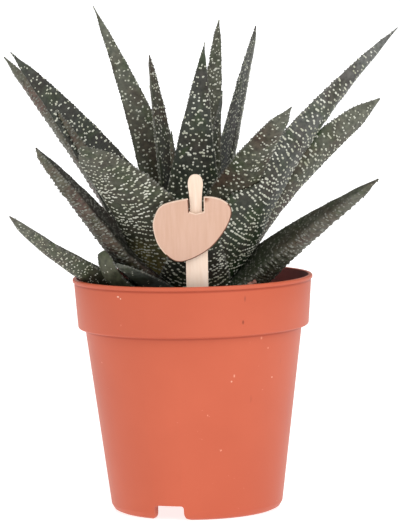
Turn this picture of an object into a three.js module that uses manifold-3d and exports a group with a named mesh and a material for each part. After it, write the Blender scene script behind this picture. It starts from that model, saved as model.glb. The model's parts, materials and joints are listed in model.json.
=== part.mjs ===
// A haworthia in a round plastic nursery pot, with a wooden pick that stands in the soil.
// Millimetres, +Z up. The pot stands on Z = 0 and is seen from the -Y side, with +X to the right.
// The origin lies under the middle of the whole outline, because the rosette leans to one side of its pot.
import * as THREE from "three";
import { mergeVertices } from "three/addons/utils/BufferGeometryUtils.js";
import Module from "manifold-3d";

// Driving dimensions of the pot
const POT_AXIS_X = -5;
const POT_HEIGHT = 102.5;
const RIM_RADIUS = 52.5;
const COLLAR_HEIGHT = 22;
const COLLAR_FOOT_RADIUS = 50.5;
const WALL_TOP_RADIUS = 47.4;
const BASE_RADIUS = 37.2;
const WALL = 1.2;
const LIP_HEIGHT = 1.8;
const LIP_PROUD = 0.5;
const FOOT_HEIGHT = 6.5;
const FOOT_CORNER = 3;
const BASE_PLATE = 1.6;
const NOTCH_WIDTH = 13.4;
const NOTCH_FLARE = 2.4;
const NOTCH_AZIMUTHS = [251, 11, 131];
const DRAIN_HOLES = 6;
const DRAIN_RADIUS = 3.5;
const DRAIN_CIRCLE = 21;
const POT_SIDES = 36;

// Driving dimensions of what fills the pot
const GAP = 0.3;
const SOIL_EDGE_Z = 93;
const SOIL_MOUND = 1.6;
const SOIL_SIDES = 24;
const CROWN_TIP_RADIUS = 4;
const CROWN_FLARE = 7;
const CROWN_FLARE_Z = 92.5;
const CROWN_FLARE_HEIGHT = 8;
const CROWN_BOTTOM_Z = 82.5;
const CROWN_TOP_Z = 115.5;
const ROOT_RADIUS = 1.9;
const ROOT_STEPS = 5;

// Driving dimensions of the leaves
const LEAF_SIDES = 8;
const LEAF_STEPS = 7;
const WIDEST_AT = 0.22;
const TURNED_BY = 0.3;
const LEAF_END = 0.99;
const THINNEST = 0.35;
const TUBERCLE_RADIUS = 0.62;
const TUBERCLE_HEIGHT = 0.45;
const TUBERCLE_ROOT = 0.15;
const LEAF_CLEARANCE = GAP + TUBERCLE_HEIGHT + 0.05;

// Driving dimensions of the pick
const PICK_X = 2.1;
const STICK_Y = -42.6;
const STICK_PIVOT_Z = 102.5;
const STICK_LEAN = 4;
const STICK_THICK = 1.6;
const STICK_WIDTH = 9.4;
const STICK_BOTTOM_Z = 62.5;
const SHOULDER_Z = 130.5;
const NECK_Z = 134.5;
const NECK_WIDTH = 5.1;
const HEAD_WIDTH = 6.5;
const HEAD_Z = 145.3;
const STICK_TOP_Z = 150;
const TAG_THICK = 2;
const TAG_CENTRE = [-1.6, 126.9];
const NOTCH_IN_TAG = { width: 6.8, bottom: 6.6, point: 0.8 };

const degrees = Math.PI / 180;
const wasm = await Module();
wasm.setup();

// Colours of the real surfaces
const TERRACOTTA = 0xdc6f56;
const POTTING_MIX = 0x3a2c22;
const ROOT_CREAM = 0xb9a37e;
const BARE_WOOD = 0xf3dcc6;
const TAG_WOOD = 0xe3b697;
const DRY_LEAF = 0x8a4a36;
const LEAF_TONES = { grey: 0x4a4f45, olive: 0x565846, brown: 0x544a45, dark: 0x2c3a2c, pale: 0x6d7560 };

function finish(color, roughness) {
  return new THREE.MeshStandardMaterial({ color, roughness, metalness: 0 });
}

// A closed three.js geometry as a solid that can be joined and cut.
function solid(geometry) {
  const bare = geometry.index ? geometry.toNonIndexed() : geometry.clone();
  bare.deleteAttribute("normal");
  bare.deleteAttribute("uv");
  const merged = mergeVertices(bare, 1e-4);
  const corners = merged.index.array;
  const kept = [];
  for (let i = 0; i < corners.length; i += 3) {
    const [a, b, c] = [corners[i], corners[i + 1], corners[i + 2]];
    if (a !== b && b !== c && c !== a) kept.push(a, b, c);
  }
  return new wasm.Manifold(
    new wasm.Mesh({
      numProp: 3,
      vertProperties: merged.attributes.position.array,
      triVerts: new Uint32Array(kept),
    }),
  );
}

function joined(solids) {
  return wasm.Manifold.union(solids);
}

// The largest body of a cut solid. Scraps that a cut leaves loose are dropped.
function largestBody(cut) {
  const bodies = cut.decompose();
  return bodies.reduce((best, body) => (body.volume() > best.volume() ? body : best));
}

function namedMesh(name, made, material) {
  const raw = made.getMesh();
  const points = new Float32Array(raw.numVert * 3);
  for (let i = 0; i < raw.numVert; i++) {
    points.set(raw.vertProperties.subarray(i * raw.numProp, i * raw.numProp + 3), i * 3);
  }
  const geometry = new THREE.BufferGeometry();
  geometry.setAttribute("position", new THREE.BufferAttribute(points, 3));
  geometry.setIndex(new THREE.BufferAttribute(raw.triVerts, 1));
  geometry.computeVertexNormals();
  const mesh = new THREE.Mesh(geometry, material);
  mesh.name = name;
  return mesh;
}

// A turned solid. The profile holds [radius, z] pairs that close on themselves or start and end on the axis.
function turned(profile, sides) {
  const points = profile.map(([radius, z]) => new THREE.Vector2(radius, z));
  return new THREE.LatheGeometry(points, sides).rotateX(Math.PI / 2);
}

// Pot

const COLLAR_Z = POT_HEIGHT - COLLAR_HEIGHT;
const COLLAR_TOP_RADIUS = RIM_RADIUS - LIP_PROUD;

// Radius of the outside of the wall under the collar.
function wallRadius(z) {
  return THREE.MathUtils.lerp(BASE_RADIUS, WALL_TOP_RADIUS, z / COLLAR_Z);
}

// Radius of the outside of the collar.
function collarRadius(z) {
  return THREE.MathUtils.lerp(COLLAR_FOOT_RADIUS, COLLAR_TOP_RADIUS, (z - COLLAR_Z) / COLLAR_HEIGHT);
}

function potProfile() {
  const plateTop = FOOT_HEIGHT + BASE_PLATE;
  const lipZ = POT_HEIGHT - LIP_HEIGHT;
  const corner = 0.3 * FOOT_CORNER;
  return [
    [0, FOOT_HEIGHT],
    [wallRadius(0) - FOOT_CORNER - WALL, FOOT_HEIGHT],
    [wallRadius(0) - FOOT_CORNER - WALL, 0],
    [wallRadius(0) - FOOT_CORNER, 0],
    [wallRadius(0) - corner, corner],
    [wallRadius(FOOT_CORNER), FOOT_CORNER],
    [WALL_TOP_RADIUS, COLLAR_Z - 0.6],
    [WALL_TOP_RADIUS + 0.5, COLLAR_Z],
    [COLLAR_FOOT_RADIUS - 0.6, COLLAR_Z],
    [COLLAR_FOOT_RADIUS, COLLAR_Z + 0.6],
    [COLLAR_TOP_RADIUS - 0.1, lipZ],
    [RIM_RADIUS, lipZ + 0.3],
    [RIM_RADIUS, POT_HEIGHT - 0.4],
    [RIM_RADIUS - 0.4, POT_HEIGHT],
    [COLLAR_TOP_RADIUS - WALL, POT_HEIGHT],
    [collarRadius(COLLAR_Z) - WALL, COLLAR_Z + WALL],
    [wallRadius(COLLAR_Z) - WALL, COLLAR_Z - WALL],
    [wallRadius(plateTop) - WALL, plateTop],
    [0, plateTop],
  ];
}

// The opening of a drainage notch, seen from outside: straight sides that flare out at the table.
function notchCutter(azimuth) {
  const half = NOTCH_WIDTH / 2;
  const outline = new THREE.Shape();
  outline.moveTo(-half - NOTCH_FLARE, -1);
  outline.lineTo(half + NOTCH_FLARE, -1);
  outline.lineTo(half + NOTCH_FLARE, 0);
  outline.quadraticCurveTo(half, 0.4, half, NOTCH_FLARE + 0.6);
  outline.lineTo(half, FOOT_HEIGHT - 1);
  outline.quadraticCurveTo(half, FOOT_HEIGHT, half - 1, FOOT_HEIGHT);
  outline.lineTo(1 - half, FOOT_HEIGHT);
  outline.quadraticCurveTo(-half, FOOT_HEIGHT, -half, FOOT_HEIGHT - 1);
  outline.lineTo(-half, NOTCH_FLARE + 0.6);
  outline.quadraticCurveTo(-half, 0.4, -half - NOTCH_FLARE, 0);
  outline.closePath();
  const depth = 14;
  const cutter = new THREE.ExtrudeGeometry(outline, { depth, bevelEnabled: false, curveSegments: 3 });
  cutter.rotateX(Math.PI / 2);
  cutter.translate(0, depth - BASE_RADIUS - 4, 0);
  cutter.rotateZ((azimuth - 270) * degrees);
  return solid(cutter);
}

function drainCutter(index) {
  const azimuth = (index * 360) / DRAIN_HOLES * degrees;
  const cutter = new THREE.CylinderGeometry(DRAIN_RADIUS, DRAIN_RADIUS, 4 * BASE_PLATE, 10);
  cutter.rotateX(Math.PI / 2);
  cutter.translate(DRAIN_CIRCLE * Math.cos(azimuth), DRAIN_CIRCLE * Math.sin(azimuth), FOOT_HEIGHT);
  return solid(cutter);
}

function pot() {
  const notches = NOTCH_AZIMUTHS.map(notchCutter);
  const drains = Array.from({ length: DRAIN_HOLES }, (_, index) => drainCutter(index));
  return solid(turned(potProfile(), POT_SIDES)).subtract(joined([...notches, ...drains]));
}

// Crown and roots

function crownRadius(z) {
  return CROWN_TIP_RADIUS + CROWN_FLARE * Math.exp((CROWN_FLARE_Z - z) / CROWN_FLARE_HEIGHT);
}

function crown(extra) {
  const top = CROWN_TOP_Z + extra;
  const profile = [
    [0, CROWN_BOTTOM_Z - extra],
    [6 + extra, CROWN_BOTTOM_Z - extra],
    [crownRadius(CROWN_FLARE_Z) + extra, CROWN_FLARE_Z - 4],
  ];
  for (let z = CROWN_FLARE_Z; z <= CROWN_TOP_Z - 3; z += 5) profile.push([crownRadius(z) + extra, z]);
  profile.push([2 + extra, top], [0, top]);
  return solid(turned(profile, 10));
}

const ROOT_PATHS = [
  [[4, -3, 84.5], [15, -12, 66], [19, -20, 44], [14, -24, 22]],
  [[-4, -3, 84.5], [-17, -9, 68], [-24, -12, 48], [-25, -10, 30]],
  [[0, 4, 84.5], [4, 17, 66], [2, 26, 44], [6, 28, 20]],
  [[5, 2, 84.5], [19, 8, 70], [29, 12, 56], [31, 10, 40]],
  [[-3, 4, 84.5], [-14, 15, 64], [-18, 22, 44], [-16, 22, 26]],
];

function root(path, extra) {
  const points = path.map((point) => new THREE.Vector3(...point));
  const section = new THREE.Shape();
  const radius = ROOT_RADIUS + extra;
  section.absarc(0, 0, radius, 0, 2 * Math.PI);
  const tube = new THREE.ExtrudeGeometry(section, {
    extrudePath: new THREE.CatmullRomCurve3(points),
    steps: ROOT_STEPS,
    curveSegments: 3,
  });
  return solid(tube);
}

function stemAndRoots(extra = 0) {
  return joined([crown(extra), ...ROOT_PATHS.map((path) => root(path, extra))]);
}

// Leaves

// Each leaf starts on the crown at a height, leaves it with a rise, and bends to its tip.
// The first ones are the innermost. A turn rolls the faces about the leaf's own line.
const LEAVES = [
  { azimuth: -20, height: 111.5, rise: 86, tip: [15, 2, 183.5], width: 9, thick: 3.5, taper: 0.8,
    tone: "dark" },
  { azimuth: 200, height: 111.5, rise: 86, tip: [-8, -3, 166.5], width: 13, thick: 3.5, taper: 0.8,
    tone: "brown" },
  { azimuth: -88, height: 104.5, rise: 82, tip: [7.5, -14, 205.5], width: 28, thick: 5.5, taper: 1,
    tone: "dark" },
  { azimuth: 165, height: 105.5, rise: 83, tip: [-17, 11, 199.5], width: 20, thick: 5, taper: 0.9,
    reach: 0.72, turn: -10, tone: "olive" },
  { azimuth: 45, height: 102.5, rise: 84, tip: [14, 22, 214.5], width: 18, thick: 6, taper: 0.65,
    reach: 0.55, tone: "olive" },
  { azimuth: 38, height: 106.5, rise: 73, tip: [30.5, 20, 211.2], width: 27, thick: 5.5, taper: 0.72,
    reach: 0.62, turn: -20, tone: "grey" },
  { azimuth: 115, height: 99.5, rise: 77, tip: [-42.5, 36, 222], width: 26, thick: 6, taper: 0.9,
    reach: 0.32, turn: -20, tone: "olive" },
  { azimuth: -35, height: 101.5, rise: 79, tip: [44, -50, 178.4], width: 28, thick: 6, taper: 0.58,
    reach: 0.36, turn: -33, tone: "olive" },
  { azimuth: -48, height: 94.5, rise: 61, tip: [93.6, 15, 209.8], width: 31, thick: 7, taper: 0.82,
    reach: 0.44, turn: -12, tone: "grey" },
  { azimuth: 160, height: 97.5, rise: 64, tip: [-78, -3, 202.6], width: 28, thick: 7, taper: 0.8,
    reach: 0.45, turn: -50, tone: "dark" },
  { azimuth: -8, height: 93.5, rise: 84, tip: [85, 5, 179], width: 28, thick: 7, taper: 0.4,
    reach: 0.3, turn: -45, tone: "olive" },
  { azimuth: -88, height: 93.5, rise: 46, tip: [5, -41, 129], width: 32, thick: 6, taper: 0.45,
    reach: 0.5, tone: "dark" },
  { azimuth: -106, height: 93.5, rise: 64, tip: [-46, -66, 164.5], width: 41, thick: 6, taper: 0.42,
    reach: 0.4, tone: "olive" },
  { azimuth: 170, height: 93.5, rise: 63, tip: [-81.3, 8, 200.6], width: 27, thick: 6, taper: 0.5,
    reach: 0.42, turn: 36, tone: "brown" },
  { azimuth: 90, height: 95.5, rise: 60, tip: [2, 62, 149.5], width: 24, thick: 7, taper: 0.75,
    reach: 0.4, tone: "grey" },
  { azimuth: -149, height: 92.5, rise: 49, tip: [-65.5, -42, 162.5], width: 34, thick: 11, taper: 1.25,
    reach: 0.68, turn: -30, tone: "brown" },
  { azimuth: -8, height: 92.5, rise: 48, tip: [81.3, -33, 146.2], width: 27, thick: 15, taper: 0.92,
    reach: 0.3, turn: 20, tone: "olive" },
  { azimuth: 118, height: 94.5, rise: 55, tip: [-28, 58, 143.5], width: 23, thick: 7, taper: 0.75,
    reach: 0.4, tone: "olive" },
  { azimuth: 62, height: 94.5, rise: 50, tip: [27, 60, 140.5], width: 22, thick: 7, taper: 0.75,
    reach: 0.4, tone: "brown" },
  { azimuth: 145, height: 93.5, rise: 48, tip: [-41, 42, 139.5], width: 21, thick: 7, taper: 0.75,
    reach: 0.4, tone: "grey" },
  { azimuth: 38, height: 93.5, rise: 50, tip: [38, 40, 138.5], width: 20, thick: 7, taper: 0.75,
    reach: 0.4, tone: "olive" },
  { azimuth: -165, height: 92.5, rise: 18.5, tip: [-78.3, -30, 133], width: 20, thick: 10, taper: 0.32,
    turn: 10, tone: "olive" },
  { azimuth: -145, height: 93.5, rise: 5, tip: [-37.4, -30, 117.2], width: 17, thick: 6, taper: 0.22,
    reach: 0.8, tone: "pale" },
  { azimuth: -130, height: 92.5, rise: 30, tip: [-32, -42, 112.5], width: 22, thick: 6, taper: 0.5,
    tone: "olive" },
  { azimuth: 76, height: 92.5, rise: 28, tip: [17, 66, 121.5], width: 18, thick: 7, taper: 0.6,
    reach: 0.45, tone: "grey" },
  { azimuth: 104, height: 92.5, rise: 25, tip: [-18, 65, 118.5], width: 19, thick: 7, taper: 0.6,
    reach: 0.45, tone: "brown" },
];

// Where a leaf's own line runs at s, from 0 at the crown to 1 at the tip, and the directions of its section.
function leafFrame(leaf, s) {
  const azimuth = leaf.azimuth * degrees;
  const rise = leaf.rise * degrees;
  const outward = new THREE.Vector3(Math.cos(azimuth), Math.sin(azimuth), 0);
  const base = outward.clone().multiplyScalar(crownRadius(leaf.height) - 1).setZ(leaf.height);
  const tip = new THREE.Vector3(...leaf.tip);
  const start = outward.clone().multiplyScalar(Math.cos(rise)).setZ(Math.sin(rise));
  const bend = base.clone().addScaledVector(start, (leaf.reach ?? 0.5) * base.distanceTo(tip));
  const curve = new THREE.QuadraticBezierCurve3(base, bend, tip);
  const along = curve.getTangent(s);
  const inward = outward.clone().multiplyScalar(-0.75).setZ(0.65);
  const face = inward.addScaledVector(along, -inward.dot(along)).normalize();
  const turn = (leaf.turn ?? 0) * degrees * Math.min(1, s / TURNED_BY);
  face.applyAxisAngle(along, turn);
  const across = new THREE.Vector3().crossVectors(along, face);
  return { point: curve.getPoint(s), along, across, face };
}

function leafWidth(leaf, s) {
  if (s < WIDEST_AT) return leaf.width * (0.55 + 0.45 * THREE.MathUtils.smoothstep(s, 0, WIDEST_AT));
  return leaf.width * ((1 - s) / (1 - WIDEST_AT)) ** leaf.taper;
}

function leafThickness(leaf, s) {
  return leaf.thick * Math.min(1, 0.5 + (0.5 * s) / WIDEST_AT) * (1 - s) ** 0.55;
}

// Height of the section at x, y on the unit circle: a shallow dish above, and below it a keel that sharpens
// towards the tip.
function sectionHeight(leaf, s, x, y) {
  const thick = leafThickness(leaf, s);
  const keel = 0.25 + 0.5 * s;
  const edge = Math.abs(y) ** 0.6;
  if (y >= 0) return 0.2 * thick * edge - 0.06 * leafWidth(leaf, s) * (1 - x * x);
  return -thick * ((1 - keel) * Math.abs(y) + keel * (1 - Math.abs(x)));
}

// A point of the leaf's surface, moved out by extra.
function leafPoint(leaf, s, x, y, extra = 0) {
  const { point, across, face } = leafFrame(leaf, s);
  const half = Math.max(leafWidth(leaf, s) / 2, THINNEST) + extra;
  const height = sectionHeight(leaf, s, x, y) + (extra + THINNEST) * y;
  return point.addScaledVector(across, half * x).addScaledVector(face, height);
}

function leafBlade(leaf, extra = 0) {
  const blade = new THREE.CylinderGeometry(1, 1, 1, LEAF_SIDES, LEAF_STEPS);
  const places = blade.attributes.position;
  for (let i = 0; i < places.count; i++) {
    const s = (places.getY(i) + 0.5) * LEAF_END;
    const moved = leafPoint(leaf, s, places.getX(i), places.getZ(i), extra);
    places.setXYZ(i, moved.x, moved.y, moved.z);
  }
  return solid(blade);
}

// A corner of the blade's facets, counted up from the crown and round the leaf.
function bladeCorner(leaf, step, side) {
  const around = (side * 2 * Math.PI) / LEAF_SIDES;
  return leafPoint(leaf, (step / LEAF_STEPS) * LEAF_END, Math.sin(around), Math.cos(around));
}

// A small pyramid in the middle of a facet, with its root sunk in. The ones near the tip are smaller.
function tubercle(corners) {
  const facet = new THREE.Triangle(...corners);
  const [a, b, c] = corners;
  const halfRound = (a.distanceTo(b) + b.distanceTo(c) + c.distanceTo(a)) / 2;
  const room = facet.getArea() / halfRound;
  const place = new THREE.Vector3()
    .addScaledVector(a, b.distanceTo(c) / 2 / halfRound)
    .addScaledVector(b, c.distanceTo(a) / 2 / halfRound)
    .addScaledVector(c, a.distanceTo(b) / 2 / halfRound);
  const out = facet.getNormal(new THREE.Vector3());
  const radius = Math.min(TUBERCLE_RADIUS, 0.9 * room);
  const height = TUBERCLE_HEIGHT * (radius / TUBERCLE_RADIUS);
  const whole = height + TUBERCLE_ROOT * (radius / TUBERCLE_RADIUS);
  const bump = new THREE.ConeGeometry(radius * (whole / height), whole, 3);
  bump.translate(0, height - whole / 2, 0);
  bump.applyQuaternion(new THREE.Quaternion().setFromUnitVectors(new THREE.Vector3(0, 1, 0), out));
  bump.translate(place.x, place.y, place.z);
  return solid(bump);
}

// Rows of tubercles, two to a step of the blade, with the rows staggered and most of them on the underside.
function tubercles(leaf) {
  const made = [];
  for (let step = 0; step < LEAF_STEPS; step++) {
    const high = step % 2 ? [2, 4, 7] : [3, 5, 0];
    const low = step % 2 ? [3, 5] : [4, 2];
    for (const side of high) {
      const above = bladeCorner(leaf, step + 1, side);
      made.push(tubercle([above, bladeCorner(leaf, step, side), bladeCorner(leaf, step + 1, side + 1)]));
    }
    for (const side of low) {
      const below = bladeCorner(leaf, step, side);
      made.push(tubercle([below, bladeCorner(leaf, step, side + 1), bladeCorner(leaf, step + 1, side + 1)]));
    }
  }
  return made;
}

// Soil

function soilTop(radius, azimuth) {
  const waves = Math.sin(5 * azimuth + radius / 6) + Math.cos(3 * azimuth - radius / 4);
  const rim = THREE.MathUtils.smoothstep(radius, 8, 46);
  return SOIL_EDGE_Z + SOIL_MOUND * (1 - rim) + 0.35 * waves * (1 - rim);
}

function soilBody(extra = 0) {
  const plateTop = FOOT_HEIGHT + BASE_PLATE + GAP;
  const inside = (z) => (z < COLLAR_Z ? wallRadius(z) : collarRadius(z)) - WALL - GAP;
  const profile = [
    [0, plateTop],
    [inside(plateTop) - 0.3, plateTop],
    [inside(COLLAR_Z - WALL) - 0.2, COLLAR_Z - WALL],
    [inside(COLLAR_Z) - 0.4, COLLAR_Z + WALL + GAP + 0.2],
    [inside(SOIL_EDGE_Z), SOIL_EDGE_Z],
    [38, SOIL_EDGE_Z],
    [28, SOIL_EDGE_Z],
    [18, SOIL_EDGE_Z],
    [9, SOIL_EDGE_Z],
    [0, SOIL_EDGE_Z],
  ];
  const body = turned(profile, SOIL_SIDES);
  const places = body.attributes.position;
  for (let i = 0; i < places.count; i++) {
    if (places.getZ(i) < SOIL_EDGE_Z - 0.01) continue;
    const radius = Math.hypot(places.getX(i), places.getY(i));
    const azimuth = radius > 0.01 ? Math.atan2(places.getY(i), places.getX(i)) : 0;
    places.setZ(i, soilTop(radius, azimuth) + extra);
  }
  return solid(body);
}

// Pick

// A flat piece of the pick, whose back stands behind the middle of the stick. It leans with the stick.
function flatPiece(outline, thick, back, curveSegments) {
  const plate = new THREE.ExtrudeGeometry(outline, { depth: thick, bevelEnabled: false, curveSegments });
  plate.rotateX(Math.PI / 2).translate(0, back, -STICK_PIVOT_Z).rotateX(STICK_LEAN * degrees);
  return solid(plate.translate(PICK_X, STICK_Y, STICK_PIVOT_Z));
}

// The outline of the stick: a broad blade, a narrow neck and a rounded head.
function stickOutline(extra) {
  const blade = STICK_WIDTH / 2 + extra;
  const neck = NECK_WIDTH / 2 + extra;
  const head = HEAD_WIDTH / 2 + extra;
  const outline = new THREE.Shape();
  outline.moveTo(-blade, STICK_BOTTOM_Z + blade - extra);
  outline.absarc(0, STICK_BOTTOM_Z + blade - extra, blade, Math.PI, 2 * Math.PI);
  outline.lineTo(blade, SHOULDER_Z - 2);
  outline.quadraticCurveTo(blade, SHOULDER_Z, neck, NECK_Z);
  outline.quadraticCurveTo(neck, HEAD_Z - 4, head, HEAD_Z);
  outline.quadraticCurveTo(head, STICK_TOP_Z, 0, STICK_TOP_Z);
  outline.quadraticCurveTo(-head, STICK_TOP_Z, -head, HEAD_Z);
  outline.quadraticCurveTo(-neck, HEAD_Z - 4, -neck, NECK_Z);
  outline.quadraticCurveTo(-blade, SHOULDER_Z, -blade, SHOULDER_Z - 2);
  outline.closePath();
  return outline;
}

function stick(extra = 0) {
  return flatPiece(stickOutline(extra), STICK_THICK + 2 * extra, STICK_THICK / 2 + extra, 5);
}

// The rounded tag with a notch in its top edge, where the neck of the stick shows.
function tag() {
  const edge = [
    [-16.7, 0.8], [-15.9, 5.9], [-12.9, 10.4], [-5.7, 12.5], [5.9, 13.8], [12.8, 12.3],
    [16.7, 8.2], [14.8, 1], [7.8, -7.9], [-1.5, -13.1], [-8.2, -13.3], [-14.3, -7.1],
  ];
  const [centreX, centreZ] = TAG_CENTRE;
  const points = edge.map(([x, z]) => new THREE.Vector3(x + centreX, z + centreZ, 0));
  const rounded = new THREE.CatmullRomCurve3(points, true).getPoints(36);
  const outline = new THREE.Shape(rounded.map(({ x, y }) => new THREE.Vector2(x, y)));
  const back = -STICK_THICK / 2 - GAP;
  const notch = new THREE.Shape();
  const half = NOTCH_IN_TAG.width / 2;
  const bottom = centreZ + NOTCH_IN_TAG.bottom;
  notch.moveTo(-half, bottom + NOTCH_IN_TAG.point);
  notch.lineTo(0, bottom);
  notch.lineTo(half, bottom + NOTCH_IN_TAG.point);
  notch.lineTo(half, centreZ + 20);
  notch.lineTo(-half, centreZ + 20);
  notch.closePath();
  const opening = flatPiece(notch, 3 * TAG_THICK, back + TAG_THICK, 1);
  return flatPiece(outline, TAG_THICK, back, 1).subtract(opening);
}

// Dry leaf

// A shrivelled strip that lies on the soil in front of the crown.
function dryLeaf() {
  const strip = new THREE.CylinderGeometry(1, 1, 1, 6, 8);
  const path = new THREE.CatmullRomCurve3([
    new THREE.Vector3(6, -14, 95.5),
    new THREE.Vector3(14, -27, 96.2),
    new THREE.Vector3(21, -36, 98.6),
    new THREE.Vector3(27, -38, 103),
  ]);
  const places = strip.attributes.position;
  for (let i = 0; i < places.count; i++) {
    const s = places.getY(i) + 0.5;
    const along = path.getTangent(s);
    const across = new THREE.Vector3(0, 0, 1).cross(along).normalize();
    const up = new THREE.Vector3().crossVectors(along, across);
    const half = 2.6 * Math.sin(Math.PI * (0.12 + 0.8 * s));
    const height = 0.7 + 0.5 * Math.sin(9 * s);
    const moved = path.getPoint(s);
    moved.addScaledVector(across, -half * places.getX(i));
    moved.addScaledVector(up, height * places.getZ(i));
    places.setXYZ(i, moved.x, moved.y, moved.z);
  }
  return solid(strip);
}

// Assembly

const plant = new THREE.Group();
plant.position.x = POT_AXIS_X;

plant.add(namedMesh("pot", pot(), finish(TERRACOTTA, 0.45)));

const holes = joined([stemAndRoots(GAP), stick(GAP)]);
plant.add(namedMesh("soil", largestBody(soilBody().subtract(holes)), finish(POTTING_MIX, 0.95)));
plant.add(namedMesh("stem_and_roots", stemAndRoots(), finish(ROOT_CREAM, 0.8)));

// Each leaf is cut clear of the crown, the soil and the leaves inside it, and then gets the tubercles that
// have room.
let inner = joined([crown(GAP), soilBody(GAP)]);
LEAVES.forEach((leaf, index) => {
  const blade = largestBody(leafBlade(leaf).subtract(inner));
  const clear = tubercles(leaf).filter((bump) => bump.intersect(inner).isEmpty());
  const free = clear.filter((bump) => !bump.intersect(blade).isEmpty());
  const name = "leaf_" + String(index + 1).padStart(2, "0");
  plant.add(namedMesh(name, joined([blade, ...free]), finish(LEAF_TONES[leaf.tone], 0.5)));
  inner = inner.add(leafBlade(leaf, LEAF_CLEARANCE));
});

plant.add(namedMesh("dry_leaf", largestBody(dryLeaf().subtract(inner)), finish(DRY_LEAF, 0.9)));
plant.add(namedMesh("pick_stick", stick(), finish(BARE_WOOD, 0.7)));
plant.add(namedMesh("pick_tag", tag(), finish(TAG_WOOD, 0.7)));

const root3d = new THREE.Group();
root3d.add(plant);
export default root3d;
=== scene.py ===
"""A haworthia in a round nursery pot, with a bare wooden pick in the soil.

While a piece is made, lengths are in millimetres from the pot's axis. It is then put in place in metres.
"""

import json
import logging
import math
import random
from bisect import bisect_left
from collections.abc import Iterator
from dataclasses import dataclass, field
from enum import Enum

import bmesh
import bpy
from mathutils import Matrix, Quaternion, Vector, noise
from mathutils.bvhtree import BVHTree

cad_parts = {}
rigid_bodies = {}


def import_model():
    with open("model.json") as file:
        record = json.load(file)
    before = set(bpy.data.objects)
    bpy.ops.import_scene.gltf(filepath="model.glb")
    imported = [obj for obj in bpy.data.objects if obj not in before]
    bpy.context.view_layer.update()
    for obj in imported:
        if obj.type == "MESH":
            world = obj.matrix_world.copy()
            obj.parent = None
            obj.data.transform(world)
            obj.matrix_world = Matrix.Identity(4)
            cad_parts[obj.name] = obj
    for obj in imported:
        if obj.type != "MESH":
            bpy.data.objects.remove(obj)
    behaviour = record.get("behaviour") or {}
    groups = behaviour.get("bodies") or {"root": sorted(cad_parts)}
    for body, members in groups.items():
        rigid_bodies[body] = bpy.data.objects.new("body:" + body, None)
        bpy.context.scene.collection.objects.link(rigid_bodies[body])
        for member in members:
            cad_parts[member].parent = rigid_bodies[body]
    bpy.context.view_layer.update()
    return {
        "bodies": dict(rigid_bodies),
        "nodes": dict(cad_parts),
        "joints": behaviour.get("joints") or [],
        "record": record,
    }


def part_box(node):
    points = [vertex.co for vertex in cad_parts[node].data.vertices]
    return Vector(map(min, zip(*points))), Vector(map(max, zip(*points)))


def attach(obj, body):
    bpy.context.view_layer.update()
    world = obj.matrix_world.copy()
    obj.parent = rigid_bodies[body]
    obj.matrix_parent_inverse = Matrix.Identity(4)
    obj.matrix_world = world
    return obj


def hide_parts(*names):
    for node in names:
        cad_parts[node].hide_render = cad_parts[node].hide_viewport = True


LOG = logging.getLogger("haworthia")
MM = 0.001
# Seeds the noise that makes the leaves uneven, so that every run gives the same plant.
NOISE_SEED = 5
# The gap between neighbouring pieces, in millimetres.
GAP = 0.3
Pair = tuple[float, float]
Triple = tuple[float, float, float]
Mesh = bmesh.types.BMesh
Tree = bpy.types.NodeTree
Socket = bpy.types.NodeSocket


def linear(hexa: int) -> tuple[float, float, float, float]:
    """Turns an sRGB hex colour into the linear colour that Blender's nodes hold.

    Args:
        hexa: The colour, such as 0xDC6F56.

    Returns:
        Red, green, blue and alpha.
    """
    channels = []
    for shift in (16, 8, 0):
        value = ((hexa >> shift) & 255) / 255
        channels.append(value / 12.92 if value <= 0.04045 else ((value + 0.055) / 1.055) ** 2.4)
    return channels[0], channels[1], channels[2], 1.0


def per_mm(period: float) -> float:
    """Gives the pattern scale, in cycles to the metre, of a real spacing in millimetres."""
    return 1.0 / (period * MM)


def smoothstep(value: float, low: float, high: float) -> float:
    """Eases from 0 at low to 1 at high."""
    share = min(1.0, max(0.0, (value - low) / (high - low)))
    return share * share * (3 - 2 * share)


def add_node(tree: Tree, kind: str, **settings: object) -> bpy.types.Node:
    """Adds a shader node with its settings and links.

    Args:
        tree: The node tree of the material.
        kind: The node's type without its ShaderNode prefix.
        settings: Properties of the node, or its inputs by name with _ for a space, or by number as i0.
            A socket as the value is linked.

    Returns:
        The new node.
    """
    node = tree.nodes.new("ShaderNode" + kind)
    for key, value in settings.items():
        if isinstance(value, Socket):
            slot = int(key[1:]) if key[0] == "i" and key[1:].isdigit() else key.replace("_", " ")
            tree.links.new(value, node.inputs[slot])
        elif key[0] == "i" and key[1:].isdigit():
            node.inputs[int(key[1:])].default_value = value
        elif hasattr(node, key):
            setattr(node, key, value)
        else:
            node.inputs[key.replace("_", " ")].default_value = value
    return node


@dataclass(frozen=True)
class Mark:
    """A single scuff, chip or stain, with its place in the part's frame and its radius in millimetres.

    It is tall times as high as it is wide, and its full colour fills the core share of its radius.
    """

    place: Triple
    radius: float
    tall: float
    color: int
    core: float = 0.3


@dataclass(frozen=True)
class Coat:
    """How a colour lies over another: none of it where its pattern is low, and most of it where it is high."""

    low: float = 0.0
    high: float = 1.0
    most: float = 1.0


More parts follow.
